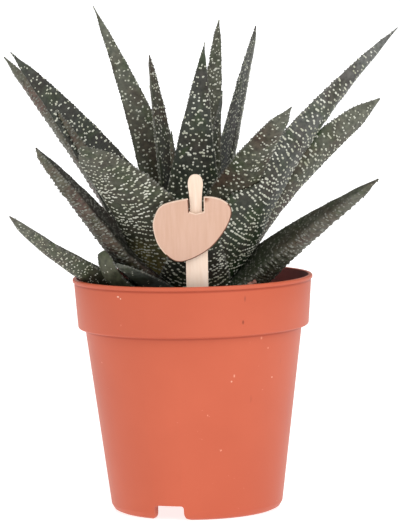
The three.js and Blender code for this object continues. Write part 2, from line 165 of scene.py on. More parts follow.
@dataclass(frozen=True)
class Finish:
    """A real material and how its surface was made. Sizes of patterns are in millimetres."""

    name: str
    slot: str
    color: int
    roughness: float
    marks: tuple[Mark, ...] = field(default=(), kw_only=True)

    def make(self) -> bpy.types.Material:
        """Builds the node material.

        Returns:
            The material, with its pattern and relief.
        """
        material = bpy.data.materials.new(self.name)
        material.use_nodes = True
        tree = material.node_tree
        shader = tree.nodes["Principled BSDF"]
        shader.inputs["Base Color"].default_value = linear(self.color)
        shader.inputs["Roughness"].default_value = self.roughness
        self.dress(tree, shader, add_node(tree, "TexCoord").outputs["Object"])
        return material

    def dress(self, tree: Tree, shader: bpy.types.Node, place: Socket) -> None:
        """Adds the pattern, which each kind of finish does in its own way.

        Args:
            tree: The node tree of the material.
            shader: The shader that gets the pattern.
            place: The place on the object, which stays with it when it moves.
        """

    def lay(
        self, tree: Tree, below: Socket | int, color: Socket | int, pattern: Socket, coat: Coat
    ) -> Socket:
        """Lays a colour over another by a pattern.

        Args:
            tree: The node tree of the material.
            below: The colour that is covered, as sRGB hex or a socket.
            color: The colour that covers it, as sRGB hex or a socket.
            pattern: Where it does so.
            coat: The pattern's range, and how much of the colour shows.

        Returns:
            The colour that comes out.
        """
        share = add_node(
            tree, "MapRange", Value=pattern, From_Min=coat.low, From_Max=coat.high, To_Max=coat.most
        ).outputs[0]
        under, over = (item if isinstance(item, Socket) else linear(item) for item in (below, color))
        return add_node(tree, "Mix", data_type="RGBA", i0=share, i6=under, i7=over).outputs[2]

    def marked(self, tree: Tree, place: Socket, body: Socket) -> Socket:
        """Adds the single marks to a colour, each with a soft edge.

        Args:
            tree: The node tree of the material.
            place: The place on the object.
            body: The colour without them.

        Returns:
            The colour with them.
        """
        for mark in self.marks:
            middle = tuple(value * MM for value in mark.place)
            apart = add_node(tree, "VectorMath", operation="SUBTRACT", i0=place, i1=middle).outputs[0]
            apart = add_node(tree, "Mapping", Vector=apart, Scale=(1, 1, 1 / mark.tall)).outputs[0]
            apart = add_node(tree, "VectorMath", operation="LENGTH", i0=apart).outputs["Value"]
            edge = Coat(mark.radius * MM, mark.core * mark.radius * MM)
            body = self.lay(tree, body, mark.color, apart, edge)
        return body


@dataclass(frozen=True)
class LeafSkin(Finish):
    """Waxy succulent skin: deep green at the heart, darker there as painted shade, dull olive further out and
    bleached grey at the tip, with painted shade on the upper side.
    """

    # The heart colour is the deep green of the leaf's base, made darker as painted shade where the leaves
    # crowd at the crown.
    heart: int = 0x22341A
    tip: int = 0x67645E
    flush: int = 0x4C3B35
    chlorophyll: int = 0x364427
    painted_shade: int = 0x181A16
    margin: int = 0x74665C
    worn: int = 0x605D50
    gloss: float = 0.28
    past_heart: Coat = Coat(0.1, 0.45)
    bleached_end: Coat = Coat(0.45, 0.98)
    green_patches: Coat = Coat(0.5, 0.68, 0.6)
    flushed_blotches: Coat = Coat(0.46, 0.7, 0.85)
    painted_upper_shade: Coat = Coat(most=0.85)
    ridge_tops: Coat = Coat(most=0.45)
    horny_rim: Coat = Coat(0.965, 1.0, 0.6)
    blotch_size: float = 15.0
    patch_size: float = 9.0
    fleck_size: float = 2.0
    fleck_range: Pair = (0.32, 0.68)
    fleck_shade: Pair = (0.62, 1.34)
    # The cells of the skin are finer than the render shows, so the grain is drawn this coarse.
    grain_size: float = 0.7
    grain_depth: float = 0.16
    grain_shown: float = 0.6
    wax_spread: Pair = (-0.08, 0.1)

    def dress(self, tree: Tree, shader: bpy.types.Node, place: Socket) -> None:
        """Adds the colours along the leaf with painted shade at the heart, painted shade on its upper side,
        the blotches and the grain under the wax.

        Args:
            tree: The node tree of the material.
            shader: The shader that gets the pattern.
            place: The place on the object.
        """
        shader.inputs["Specular IOR Level"].default_value = self.gloss
        along, across, upper, crest = (
            add_node(tree, "Attribute", attribute_name=name).outputs["Fac"]
            for name in ("along", "across", "upper", "crest")
        )
        blotch = add_node(
            tree, "TexNoise", Vector=place, Scale=per_mm(self.blotch_size), Detail=3.0
        ).outputs["Fac"]
        patch = add_node(
            tree, "TexNoise", Vector=place, Scale=per_mm(self.patch_size), Detail=2.0, Distortion=0.6
        ).outputs["Fac"]
        fleck = add_node(
            tree, "TexNoise", Vector=place, Scale=per_mm(self.fleck_size), Detail=4.0
        ).outputs["Fac"]
        # Painted shade and deep green at the heart, from the base of the leaf out to past_heart.
        body = self.lay(tree, self.heart, self.color, along, self.past_heart)
        for color, pattern, coat in (
            (self.tip, along, self.bleached_end),
            (self.chlorophyll, patch, self.green_patches),
            (self.flush, blotch, self.flushed_blotches),
            # Painted shade on the upper side, by the leaf's share of it.
            (self.painted_shade, upper, self.painted_upper_shade),
        ):
            body = self.lay(tree, body, color, pattern, coat)
        shade = add_node(
            tree, "MapRange", Value=fleck, From_Min=self.fleck_range[0], From_Max=self.fleck_range[1],
            To_Min=self.fleck_shade[0], To_Max=self.fleck_shade[1],
        ).outputs[0]
        body = add_node(tree, "HueSaturation", Color=body, Value=shade).outputs[0]
        body = self.lay(tree, body, self.worn, crest, self.ridge_tops)
        body = self.lay(tree, body, self.margin, across, self.horny_rim)
        tree.links.new(body, shader.inputs["Base Color"])
        smoothest, dullest = (self.roughness + change for change in self.wax_spread)
        wax = add_node(tree, "MapRange", Value=fleck, To_Min=smoothest, To_Max=dullest).outputs[0]
        tree.links.new(wax, shader.inputs["Roughness"])
        grain = add_node(
            tree, "TexNoise", Vector=place, Scale=per_mm(self.grain_size), Detail=2.0
        ).outputs["Fac"]
        bump = add_node(
            tree, "Bump", Height=grain, Distance=self.grain_depth * MM, Strength=self.grain_shown
        )
        tree.links.new(bump.outputs["Normal"], shader.inputs["Normal"])


@dataclass(frozen=True)
class Pearl(Finish):
    """A hard chalky tubercle: off-white on its top, and the skin's own green at its foot."""

    foot: int = 0x4A4F45
    dusty: int = 0xA5A68F
    tint_size: float = 6.0
    tints: Coat = Coat(0.35, 0.7)
    chalky_top: Coat = Coat(0.12, 0.6)

    def dress(self, tree: Tree, shader: bpy.types.Node, place: Socket) -> None:
        """Blends from the foot to the crest.

        Args:
            tree: The node tree of the material.
            shader: The shader that gets the pattern.
            place: The place on the object.
        """
        crest = add_node(tree, "Attribute", attribute_name="crest").outputs["Fac"]
        tint = add_node(
            tree, "TexNoise", Vector=place, Scale=per_mm(self.tint_size), Detail=2.0
        ).outputs["Fac"]
        chalk = self.lay(tree, self.color, self.dusty, tint, self.tints)
        body = self.lay(tree, self.foot, chalk, crest, self.chalky_top)
        tree.links.new(body, shader.inputs["Base Color"])


@dataclass(frozen=True)
class MouldedPlastic(Finish):
    """Injection-moulded polypropylene: one soft colour, a faint orange peel, pale specks and dry scuffs."""

    film: int = 0xBE5A3F
    speck: int = 0xE8A088
    smut: int = 0x7A3427
    painted_step_shade: int = 0x9A3A26
    gloss: float = 0.25
    cloud_size: float = 45.0
    clouds: Coat = Coat(0.3, 0.75)
    speck_size: float = 3.4
    specks: Coat = Coat(0.69, 0.73)
    speck_patch_size: float = 28.0
    speck_patches: Coat = Coat(0.5, 0.62)
    smut_size: float = 2.2
    smut_stretch: float = 0.12
    smut_runs: Coat = Coat(0.74, 0.8, 0.15)
    # Heights of the inner corners under the collar and under the lip, where a dark line is drawn as painted
    # shade.
    corners: tuple[float, ...] = (79.7, 100.2)
    painted_step_shade_line: Coat = Coat(0.6 * MM, 0.1 * MM, 0.55)
    # A mould's etched texture is finer than the render shows, so the peel is drawn this coarse.
    peel_size: float = 1.1
    peel_depth: float = 0.05
    peel_shown: float = 0.35

    def dress(self, tree: Tree, shader: bpy.types.Node, place: Socket) -> None:
        """Adds the cloudiness of the melt, the specks, the painted shade lines in the corners, the marks and
        the peel.

        Args:
            tree: The node tree of the material.
            shader: The shader that gets the pattern.
            place: The place on the object.
        """
        shader.inputs["Specular IOR Level"].default_value = self.gloss
        cloud = add_node(
            tree, "TexNoise", Vector=place, Scale=per_mm(self.cloud_size), Detail=3.0
        ).outputs["Fac"]
        speck = add_node(
            tree, "TexNoise", Vector=place, Scale=per_mm(self.speck_size), Detail=4.0, Roughness=0.65
        ).outputs["Fac"]
        patch = add_node(
            tree, "TexNoise", Vector=place, Scale=per_mm(self.speck_patch_size), Detail=1.0
        ).outputs["Fac"]
        runs = add_node(tree, "Mapping", Vector=place, Scale=(1, 1, self.smut_stretch)).outputs[0]
        dirt = add_node(
            tree, "TexNoise", Vector=runs, Scale=per_mm(self.smut_size), Detail=2.0
        ).outputs["Fac"]
        body = self.lay(tree, self.color, self.film, cloud, self.clouds)
        speckled = self.lay(tree, body, self.speck, speck, self.specks)
        body = self.lay(tree, body, speckled, patch, self.speck_patches)
        body = self.lay(tree, body, self.smut, dirt, self.smut_runs)
        # A dark line of painted shade under the collar and under the lip, at each corner height.
        up = add_node(tree, "SeparateXYZ", Vector=place).outputs["Z"]
        for corner in self.corners:
            apart = add_node(tree, "Math", operation="SUBTRACT", i0=up, i1=corner * MM).outputs[0]
            apart = add_node(tree, "Math", operation="ABSOLUTE", i0=apart).outputs[0]
            body = self.lay(tree, body, self.painted_step_shade, apart, self.painted_step_shade_line)
        tree.links.new(self.marked(tree, place, body), shader.inputs["Base Color"])
        peel = add_node(
            tree, "TexNoise", Vector=place, Scale=per_mm(self.peel_size), Detail=2.0
        ).outputs["Fac"]
        bump = add_node(tree, "Bump", Height=peel, Distance=self.peel_depth * MM, Strength=self.peel_shown)
        tree.links.new(bump.outputs["Normal"], shader.inputs["Normal"])


@dataclass(frozen=True)
class PottingMix(Finish):
    """Composted bark and peat: nearly black crumbs with brown fibres and a few pale bits."""

    fibre: int = 0x5A4636
    grit: int = 0x9C8B74
    crumb_size: float = 1.6
    crumb_depth: float = 0.8
    grit_size: float = 2.5
    grit_bits: Coat = Coat(0.7, 0.74)

    def dress(self, tree: Tree, shader: bpy.types.Node, place: Socket) -> None:
        """Adds crumbs in several browns, and the grit.

        Args:
            tree: The node tree of the material.
            shader: The shader that gets the pattern.
            place: The place on the object.
        """
        crumb = add_node(tree, "TexVoronoi", Vector=place, Scale=per_mm(self.crumb_size))
        cell = add_node(tree, "SeparateColor", Color=crumb.outputs["Color"]).outputs["Red"]
        grit = add_node(tree, "TexNoise", Vector=place, Scale=per_mm(self.grit_size)).outputs["Fac"]
        body = self.lay(tree, self.color, self.fibre, cell, Coat())
        body = self.lay(tree, body, self.grit, grit, self.grit_bits)
        tree.links.new(body, shader.inputs["Base Color"])
        bump = add_node(
            tree, "Bump", Height=crumb.outputs["Distance"], Distance=self.crumb_depth * MM, Strength=1.0
        )
        tree.links.new(bump.outputs["Normal"], shader.inputs["Normal"])


@dataclass(frozen=True)
class SawnWood(Finish):
    """Pale sanded wood: fine grain lines that run up the piece, and a few pores."""

    grain: int = 0xE0BE9A
    stretch: float = 0.06
    # The pores of birch and alder are finer than the render shows, so the lines are drawn this coarse.
    line_size: float = 1.3
    lines: Coat = Coat(0.4, 0.75)
    line_depth: float = 0.1
    line_shown: float = 0.4
    band_size: float = 6.0
    bands: Coat = Coat(0.5, 0.8)

    def dress(self, tree: Tree, shader: bpy.types.Node, place: Socket) -> None:
        """Adds the long grain, its broad bands, the marks and the raised fibres.

        Args:
            tree: The node tree of the material.
            shader: The shader that gets the pattern.
            place: The place on the object.
        """
        long = add_node(tree, "Mapping", Vector=place, Scale=(1, 1, self.stretch)).outputs[0]
        line = add_node(
            tree, "TexNoise", Vector=long, Scale=per_mm(self.line_size), Detail=4.0, Roughness=0.6
        ).outputs["Fac"]
        band = add_node(
            tree, "TexNoise", Vector=long, Scale=per_mm(self.band_size), Detail=2.0
        ).outputs["Fac"]
        body = self.lay(tree, self.color, self.grain, line, self.lines)
        body = self.lay(tree, body, self.grain, band, self.bands)
        tree.links.new(self.marked(tree, place, body), shader.inputs["Base Color"])
        bump = add_node(tree, "Bump", Height=line, Distance=self.line_depth * MM, Strength=self.line_shown)
        tree.links.new(bump.outputs["Normal"], shader.inputs["Normal"])


@dataclass(frozen=True)
class PaperyLeaf(Finish):
    """A dry papery skin, on a dead leaf or an old root: blotched, with fine wrinkles."""

    pale: int = 0xA8796A
    blotch_size: float = 1.8
    blotches: Coat = Coat(0.35, 0.7)
    wrinkle_depth: float = 0.4
    wrinkle_shown: float = 0.8

    def dress(self, tree: Tree, shader: bpy.types.Node, place: Socket) -> None:
        """Adds blotches and wrinkles.

        Args:
            tree: The node tree of the material.
            shader: The shader that gets the pattern.
            place: The place on the object.
        """
        blotch = add_node(
            tree, "TexNoise", Vector=place, Scale=per_mm(self.blotch_size), Detail=4.0
        ).outputs["Fac"]
        body = self.lay(tree, self.color, self.pale, blotch, self.blotches)
        tree.links.new(body, shader.inputs["Base Color"])
        bump = add_node(
            tree, "Bump", Height=blotch, Distance=self.wrinkle_depth * MM, Strength=self.wrinkle_shown
        )
        tree.links.new(bump.outputs["Normal"], shader.inputs["Normal"])


@dataclass(frozen=True)
class StudioPaper(Finish):
    """The pale sheet that the pot stands on, lit from below as well, so that it shows pure white."""

    glow: float = 0.8

    def dress(self, tree: Tree, shader: bpy.types.Node, place: Socket) -> None:
        """Adds the light that comes through the sheet.

        Args:
            tree: The node tree of the material. It is not used.
            shader: The shader that gets the pattern.
            place: The place on the object. It is not used.
        """
        shader.inputs["Emission Color"].default_value = (1, 1, 1, 1)
        shader.inputs["Emission Strength"].default_value = self.glow


class Tone(Enum):
    """The overall colour of a leaf."""

    GREY = "grey"
    OLIVE = "olive"
    BROWN = "brown"
    DARK = "dark"
    PALE = "pale"
    STRAW = "straw"
    BLUE = "blue"
    MOSS = "moss"


# The wax leaves a low satin sheen, so the leaves look dull and deep, and each one keeps its own tone.
SKINS = {
    Tone.GREY: LeafSkin("waxy skin grey", "leaf_grey", 0x3E403A, 0.52, tip=0x6C6D6A, flush=0x443D38),
    Tone.OLIVE: LeafSkin("waxy skin olive", "leaf_olive", 0x3B3E2F, 0.52, tip=0x606155, flush=0x46362C),
    Tone.BROWN: LeafSkin("waxy skin flushed", "leaf_brown", 0x45392D, 0.52, tip=0x5E6050, flush=0x5E3B39),
    Tone.DARK: LeafSkin("waxy skin deep green", "leaf_dark", 0x2A2F26, 0.52, tip=0x4F514B, flush=0x352D29),
    Tone.PALE: LeafSkin(
        "waxy skin pale green", "leaf_pale", 0x505340, 0.52, heart=0x3A3D2C, painted_shade=0x3A3C30, tip=0x585A47,
        flush=0x4A4B3C,
    ),
    # The straw base is painted much lighter than its own colour, as painted light where it sits in shade among
    # the leaves.
    Tone.STRAW: LeafSkin(
        "waxy skin with a straw base", "leaf_olive", 0x37392C, 0.52, tip=0x56574B, flush=0x3D382F,
        heart=0xC4B465,
    ),
    Tone.MOSS: LeafSkin("waxy skin moss green", "leaf_olive", 0x494B3F, 0.52, tip=0x66685C, flush=0x4B493C),
    Tone.BLUE: LeafSkin(
        "waxy skin blue green", "leaf_olive", 0x4C5655, 0.52, heart=0x485352, tip=0x585C50, flush=0x4A4C46,
        painted_shade=0x3A4240,
    ),
}
# Dry chalk without a sheen: nearly white on the flat of a leaf, and horny grey on its ridges and margins.
PEARL = Pearl("chalky tubercle", "leaf_grey", 0xD0D1C4, 0.6, foot=0x4A4B43)
PEARL_HORNY = Pearl("horny tubercle", "leaf_grey", 0x84857A, 0.55, foot=0x45453C, dusty=0x6C6C62)
PEARL_TOOTH = Pearl("margin tooth", "leaf_grey", 0x68685F, 0.55, foot=0x3C3C36, dusty=0x56554E)
# The collar's two dark scuffs, the chips in the rim and the wall, and a pale spot on top of the rim at its
# right end.
POT_MARKS = (
    Mark((17.2, -46.6, 96.6), 0.6, 2.8, 0xA8503C),
    Mark((16.2, -46.3, 86.5), 0.65, 1.8, 0x8E402D),
    Mark((-36.8, -40.7, 97.9), 0.75, 0.5, 0xF0CFBC),
    Mark((-35.8, -41.5, 97.1), 0.45, 0.7, 0xF0CFBC),
    Mark((24.0, -37.3, 78.6), 0.65, 1.3, 0xDC8C72),
    Mark((26.8, -34.1, 73.9), 0.6, 0.9, 0xDC8A70),
    Mark((12.0, -41.9, 63.1), 0.5, 1.8, 0xE09880),
    Mark((10.8, -42.1, 60.7), 0.5, 1.0, 0xEAB098),
    Mark((28.3, -30.2, 60.8), 0.45, 1.0, 0xEEB8A2),
    Mark((47.2, -2, 102), 1.3, 1.0, 0xC9B4A8),
)
# A satin terracotta shell. Inside, the wet mix has stained it dull and purplish, and it is darker still as
# painted shade.
POT_PLASTIC = MouldedPlastic("moulded polypropylene", "terracotta_plastic", 0xC76145, 0.45, marks=POT_MARKS)
POT_INSIDE_STAINED_AND_SHADED = MouldedPlastic(
    "soil-stained polypropylene with painted shade", "terracotta_plastic", 0x8C4946, 0.7, film=0x653733, corners=()
)
# Dark and fully matt, broken by fibres and pale grit.
SOIL_MIX = PottingMix("composted bark and peat", "potting_mix", 0x2B2019, 0.95)
# Cream corky bark on the crown and the roots, and thin brown skin on the dead leaf.
ROOT_SKIN = PaperyLeaf("root bark", "root", 0xB9A37E, 0.85)
DEAD_LEAF = PaperyLeaf("papery dead leaf", "dry_leaf", 0x6B3D33, 0.9)
# Bare matt wood: a nearly white stick, and a warmer tag. The tag's edge faces that turn down and right are
# scorched brown, which stands as painted shade there, and those that turn up and left are pale as painted
# highlight.
STICK_WOOD = SawnWood("sanded birch", "bare_birch", 0xEED8C6, 0.6, grain=0xE4C8B0)
# A brown patch beside the notch: painted shadow of the stick, with scorch from the cut.
NOTCH_SCORCH_AND_SHADOW = Mark((1.1, -48.3, 139.9), 2.3, 1.0, 0x85502F)
TAG_FACE = SawnWood("sanded alder sheet", "tag_wood", 0xCDA792, 0.6, grain=0xC69E87, marks=(NOTCH_SCORCH_AND_SHADOW,))
TAG_RIM_HIGHLIGHT = SawnWood("painted highlight on the sheet's rim", "tag_wood", 0xE0C4B0, 0.6, grain=0xD6B8A2)
TAG_EDGE_SCORCH_AND_SHADE = SawnWood("scorched laser-cut edge with painted shade", "tag_wood", 0x6B3F2A, 0.75, grain=0x5A3422)
# A sheet without a horizon or a shadow edge.
FLOOR_PAPER = StudioPaper("lit studio paper", "", 0xBABABA, 0.9)


class Piece:
    """A mesh that is being made in millimetres and then put on the object."""

    def __init__(self, name: str) -> None:
        """Starts an empty mesh."""
        self.name = name
        self.mesh = bmesh.new()

    def finish(self, *finishes: Finish, slot: str, smooth: float, stands_for: str = "") -> None:
        """Turns the mesh into an object in its place.

        Args:
            finishes: The materials, in the order of the faces' material numbers.
            slot: The record's material slot. It is not used.
            smooth: Faces that meet under this angle, in degrees, shade as one surface.
            stands_for: The CAD node that it takes the place of.
        """
        for face in self.mesh.faces:
            face.smooth = True
        for edge in self.mesh.edges:
            if len(edge.link_faces) == 2 and edge.calc_face_angle(0.0) > math.radians(smooth):
                edge.smooth = False
        bmesh.ops.transform(self.mesh, matrix=placing(), verts=self.mesh.verts)
        data = mesh_data(self.name, self.mesh)
        self.mesh.free()
        for item in finishes:
            data.materials.append(made(item))
        piece = linked(self.name, data)
        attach(piece, "root")
        if stands_for:
            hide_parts(stands_for)
        LOG.info("%s: %d faces", self.name, len(data.polygons))


def mesh_data(name: str, mesh: Mesh) -> bpy.types.Mesh:
    """Copies a mesh that is being made into the data of an object."""
    data = bpy.data.meshes.new(name)
    mesh.to_mesh(data)
    return data


def linked(name: str, data: bpy.types.ID) -> bpy.types.Object:
    """Puts a new object with its data in the scene."""
    thing = bpy.data.objects.new(name, data)
    bpy.context.scene.collection.objects.link(thing)
    return thing


def placing() -> Matrix:
    """Turns millimetres from the pot's axis into metres in the frame of the part."""
    low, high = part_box("pot")
    axis = (low + high) / 2
    return Matrix.Translation((axis.x, axis.y, 0)) @ Matrix.Scale(MM, 4)


MADE: dict[str, bpy.types.Material] = {}


def made(item: Finish) -> bpy.types.Material:
    """Gives a finish's material, and builds it the first time."""
    if item.name not in MADE:
        MADE[item.name] = item.make()
    return MADE[item.name]


def cut(target: Mesh, tool: Mesh, operation: str = "DIFFERENCE") -> Mesh:
    """Cuts one closed mesh by another, or joins them.

    Args:
        target: The mesh that is cut.
        tool: The mesh that cuts it. Both are left as they are.
        operation: DIFFERENCE or UNION.

    Returns:
        A new mesh.
    """
    things = [linked("cutting", mesh_data("cutting", source)) for source in (target, tool)]
    modifier = things[0].modifiers.new("cut", "BOOLEAN")
    modifier.operation = operation
    modifier.solver = "MANIFOLD"
    modifier.object = things[1]
    evaluated = things[0].evaluated_get(bpy.context.evaluated_depsgraph_get())
    result = bmesh.new()
    result.from_mesh(evaluated.to_mesh())
    evaluated.to_mesh_clear()
    for thing in things:
        data = thing.data
        bpy.data.objects.remove(thing)
        bpy.data.meshes.remove(data)
    return result


def largest_body(mesh: Mesh) -> Mesh:
    """Leaves out the loose scraps that a cut leaves beside the main body.

    Args:
        mesh: The cut mesh, which is used up.

    Returns:
        A new mesh of the main body alone.
    """
    unseen = set(mesh.verts)
    bodies = []
    while unseen:
        body = {unseen.pop()}
        waiting = list(body)
        while waiting:
            corner = waiting.pop()
            for edge in corner.link_edges:
                other = edge.other_vert(corner)
                if other in unseen:
                    unseen.remove(other)
                    body.add(other)
                    waiting.append(other)
        bodies.append(body)
    bodies.sort(key=len)
    loose = [corner for body in bodies[:-1] for corner in body]
    bmesh.ops.delete(mesh, geom=loose, context="VERTS")
    kept = mesh.copy()
    mesh.free()
    return kept


def face_out(mesh: Mesh) -> None:
    """Turns every face of a closed mesh outwards."""
    bmesh.ops.recalc_face_normals(mesh, faces=mesh.faces)
    if mesh.calc_volume(signed=True) < 0:
        bmesh.ops.reverse_faces(mesh, faces=mesh.faces)


def spun(profile: list[Pair], steps: int) -> Mesh:
    """Spins a closed profile round the pot's axis.

    Args:
        profile: Radius and height pairs, which start and end on the axis or close on themselves.
        steps: How many facets go round.

    Returns:
        The closed mesh, facing out.
    """
    mesh = bmesh.new()
    corners = [mesh.verts.new((radius, 0, height)) for radius, height in profile]
    pairs = list(zip(corners, corners[1:]))
    if profile[0][0] > 0:
        pairs.append((corners[-1], corners[0]))
    edges = [mesh.edges.new(pair) for pair in pairs]
    bmesh.ops.spin(
        mesh, geom=corners + edges, cent=(0, 0, 0), axis=(0, 0, 1), angle=math.tau, steps=steps,
        use_merge=True,
    )
    bmesh.ops.remove_doubles(mesh, verts=mesh.verts, dist=1e-4)
    face_out(mesh)
    return mesh


def round_edges(mesh: Mesh, width: float, segments: int, sharper_than: float) -> None:
    """Rounds every edge that turns by more than an angle.

    Args:
        mesh: The mesh to change.
        width: How far from the corner the rounding starts, in millimetres.
        segments: How many facets the rounding has.
        sharper_than: The angle in degrees.
    """
    turn = math.radians(sharper_than)
    sharp = [edge for edge in mesh.edges if len(edge.link_faces) == 2 and edge.calc_face_angle(0.0) > turn]
    bmesh.ops.bevel(
        mesh, geom=sharp, offset=width, affect="EDGES", segments=segments, profile=0.5, material=-1,
        clamp_overlap=True,
    )


def plate(outline: list[Pair], depth: float) -> Mesh:
    """Extrudes a closed outline in the XZ plane towards -Y.

    Args:
        outline: Points of the outline.
        depth: The thickness in millimetres.

    Returns:
        The closed mesh, from Y = 0 to Y = -depth.
    """
    mesh = bmesh.new()
    face = mesh.faces.new([mesh.verts.new((x, 0, z)) for x, z in outline])
    grown = bmesh.ops.extrude_face_region(mesh, geom=[face], use_keep_orig=True)
    moved = [item for item in grown["geom"] if isinstance(item, bmesh.types.BMVert)]
    bmesh.ops.translate(mesh, vec=(0, -depth, 0), verts=moved)
    face_out(mesh)
    return mesh


def bent(start: Pair, pull: Pair, end: Pair, steps: int) -> list[Pair]:
    """Gives points on a curve from start to end that leans towards pull, without the start.

    Args:
        start: The first point, which isn't repeated.
        pull: The point that the curve leans towards.
        end: The last point.
        steps: How many points are given.

    Returns:
        The points.
    """
    points = []
    for i in range(1, steps + 1):
        t = i / steps
        both = zip(start, pull, end)
        points.append(tuple((1 - t) ** 2 * a + 2 * t * (1 - t) * b + t * t * c for a, b, c in both))
    return points


def through(a: Vector, b: Vector, c: Vector, d: Vector, t: float) -> Vector:
    """Gives the place between b and c, at t from 0 to 1, on the smooth curve through four points."""
    return 0.5 * (2 * b + (c - a) * t + (2 * a - 5 * b + 4 * c - d) * t**2 + (3 * b - a - 3 * c + d) * t**3)


def tube(sides: int, steps: int) -> Mesh:
    """Makes a closed tube along Z, a unit in radius and in length.

    Args:
        sides: How many facets go round it.
        steps: How many even steps go along it.

    Returns:
        The closed mesh.
    """
    mesh = bmesh.new()
    bmesh.ops.create_cone(mesh, cap_ends=True, segments=sides, radius1=1, radius2=1, depth=1)
    ribs = [edge for edge in mesh.edges if abs(edge.verts[0].co.z - edge.verts[1].co.z) > 0.5]
    bmesh.ops.subdivide_edges(mesh, edges=ribs, cuts=steps - 1, use_grid_fill=True)
    return mesh


@dataclass
class Pot:
    """The round nursery pot, with its stepped collar, foot skirt, notches and drain holes."""

    height: float = 102.5
    rim_radius: float = 52.5
    collar_height: float = 22.0
    collar_foot_radius: float = 50.5
    wall_top_radius: float = 47.4
    base_radius: float = 37.2
    wall: float = 1.2
    lip_height: float = 1.8
    lip_proud: float = 0.5
    foot_height: float = 6.5
    foot_corner: float = 3.0
    step_corner: float = 0.6
    lip_corner: float = 0.4
    edge_rounding: float = 0.28
    base_plate: float = 1.6
    notch_width: float = 13.4
    notch_flare: float = 2.4
    notch_corner: float = 1.4
    notch_depth: float = 10.0
    notch_azimuths: tuple[float, ...] = (251, 11, 131)
    drain_holes: int = 6
    drain_radius: float = 3.5
    drain_circle: float = 21.0
    facets: int = 144

    @property
    def collar_z(self) -> float:
        """Height of the collar's foot."""
        return self.height - self.collar_height

    def wall_radius(self, z: float) -> float:
        """Outer radius of the wall under the collar."""
        return self.base_radius + (self.wall_top_radius - self.base_radius) * z / self.collar_z

    def collar_radius(self, z: float) -> float:
        """Outer radius of the collar."""
        flare = self.rim_radius - self.lip_proud - self.collar_foot_radius
        return self.collar_foot_radius + flare * (z - self.collar_z) / self.collar_height

    def profile(self) -> list[Pair]:
        """Gives the wall's section, from the middle of the base plate round to its top.

        Returns:
            Radius and height pairs.
        """
        plate_top = self.foot_height + self.base_plate
        lip_z = self.height - self.lip_height
        collar_top = self.rim_radius - self.lip_proud
        corner = 0.3 * self.foot_corner
        inner_foot = self.wall_radius(0) - self.foot_corner - self.wall
        return [
            (0, self.foot_height),
            (inner_foot, self.foot_height),
            (inner_foot, 0),
            (self.wall_radius(0) - self.foot_corner, 0),
            (self.wall_radius(0) - corner, corner),
            (self.wall_radius(self.foot_corner), self.foot_corner),
            (self.wall_top_radius, self.collar_z - self.step_corner),
            (self.wall_top_radius + 0.5, self.collar_z),
            (self.collar_foot_radius - self.step_corner, self.collar_z),
            (self.collar_foot_radius, self.collar_z + self.step_corner),
            (collar_top - 0.15, lip_z - 1.0),
            (collar_top - self.lip_corner, lip_z),
            (self.rim_radius, lip_z + 0.15),
            (self.rim_radius, self.height - self.lip_corner),
            (self.rim_radius - self.lip_corner, self.height),
            (collar_top - self.wall, self.height),
            (self.collar_radius(self.collar_z) - self.wall, self.collar_z + self.wall),
            (self.wall_radius(self.collar_z) - self.wall, self.collar_z - self.wall),
            (self.wall_radius(plate_top) - self.wall, plate_top),
            (0, plate_top),
        ]

    def notch(self, azimuth: float) -> Mesh:
        """Makes the cutter of a drainage notch, with straight sides that flare out at the table.

        Args:
            azimuth: Where the notch is, in degrees round the pot from the right.

        Returns:
            The closed mesh, in its place.
        """
        half = self.notch_width / 2
        wide = half + self.notch_flare
        shoulder = self.notch_flare + 0.6
        top = self.foot_height
        right = [(wide, -1.0), (wide, 0.0)]
        right += bent((wide, 0), (half, 0.4), (half, shoulder), 8)
        right += [(half, top - self.notch_corner)]
        right += bent((half, top - self.notch_corner), (half, top), (half - self.notch_corner, top), 6)
        outline = right + [(-x, z) for x, z in reversed(right)]
        tool = plate(outline, self.notch_depth + 4)
        turn = Matrix.Rotation(math.radians(azimuth - 270), 4, "Z")
        place = turn @ Matrix.Translation((0, self.notch_depth - self.base_radius, 0))
        bmesh.ops.transform(tool, matrix=place, verts=tool.verts)
        return tool

    def drain(self, index: int) -> Mesh:
        """Makes the cutter of a drain hole.

        Args:
            index: The number of the hole, from 0.

        Returns:
            The closed mesh, in its place.
        """
        azimuth = index * math.tau / self.drain_holes
        x, y = self.drain_circle * math.cos(azimuth), self.drain_circle * math.sin(azimuth)
        middle = Vector((x, y, self.foot_height))
        tool = bmesh.new()
        bmesh.ops.create_cone(
            tool, cap_ends=True, segments=32, radius1=self.drain_radius, radius2=self.drain_radius,
            depth=4 * self.base_plate, matrix=Matrix.Translation(middle),
        )
        return tool

    def build(self) -> None:
        """Makes the pot and dresses it."""
        piece = Piece("nursery_pot")
        body = spun(self.profile(), self.facets)
        round_edges(body, self.edge_rounding, 2, 20)
        for azimuth in self.notch_azimuths:
            body = cut(body, self.notch(azimuth))
        for index in range(self.drain_holes):
            body = cut(body, self.drain(index))
        # Inner faces above the base plate take the soil-stained finish, which is darker still as painted
        # shade.
        for face in body.faces:
            middle = face.calc_center_median()
            inward = face.normal.x * middle.x + face.normal.y * middle.y < -0.5 * middle.xy.length
            face.material_index = 1 if inward and self.base_plate < middle.z < self.height - 1 else 0
        piece.mesh = body
        piece.finish(POT_PLASTIC, POT_INSIDE_STAINED_AND_SHADED, slot="terracotta_plastic", stands_for="pot", smooth=35)


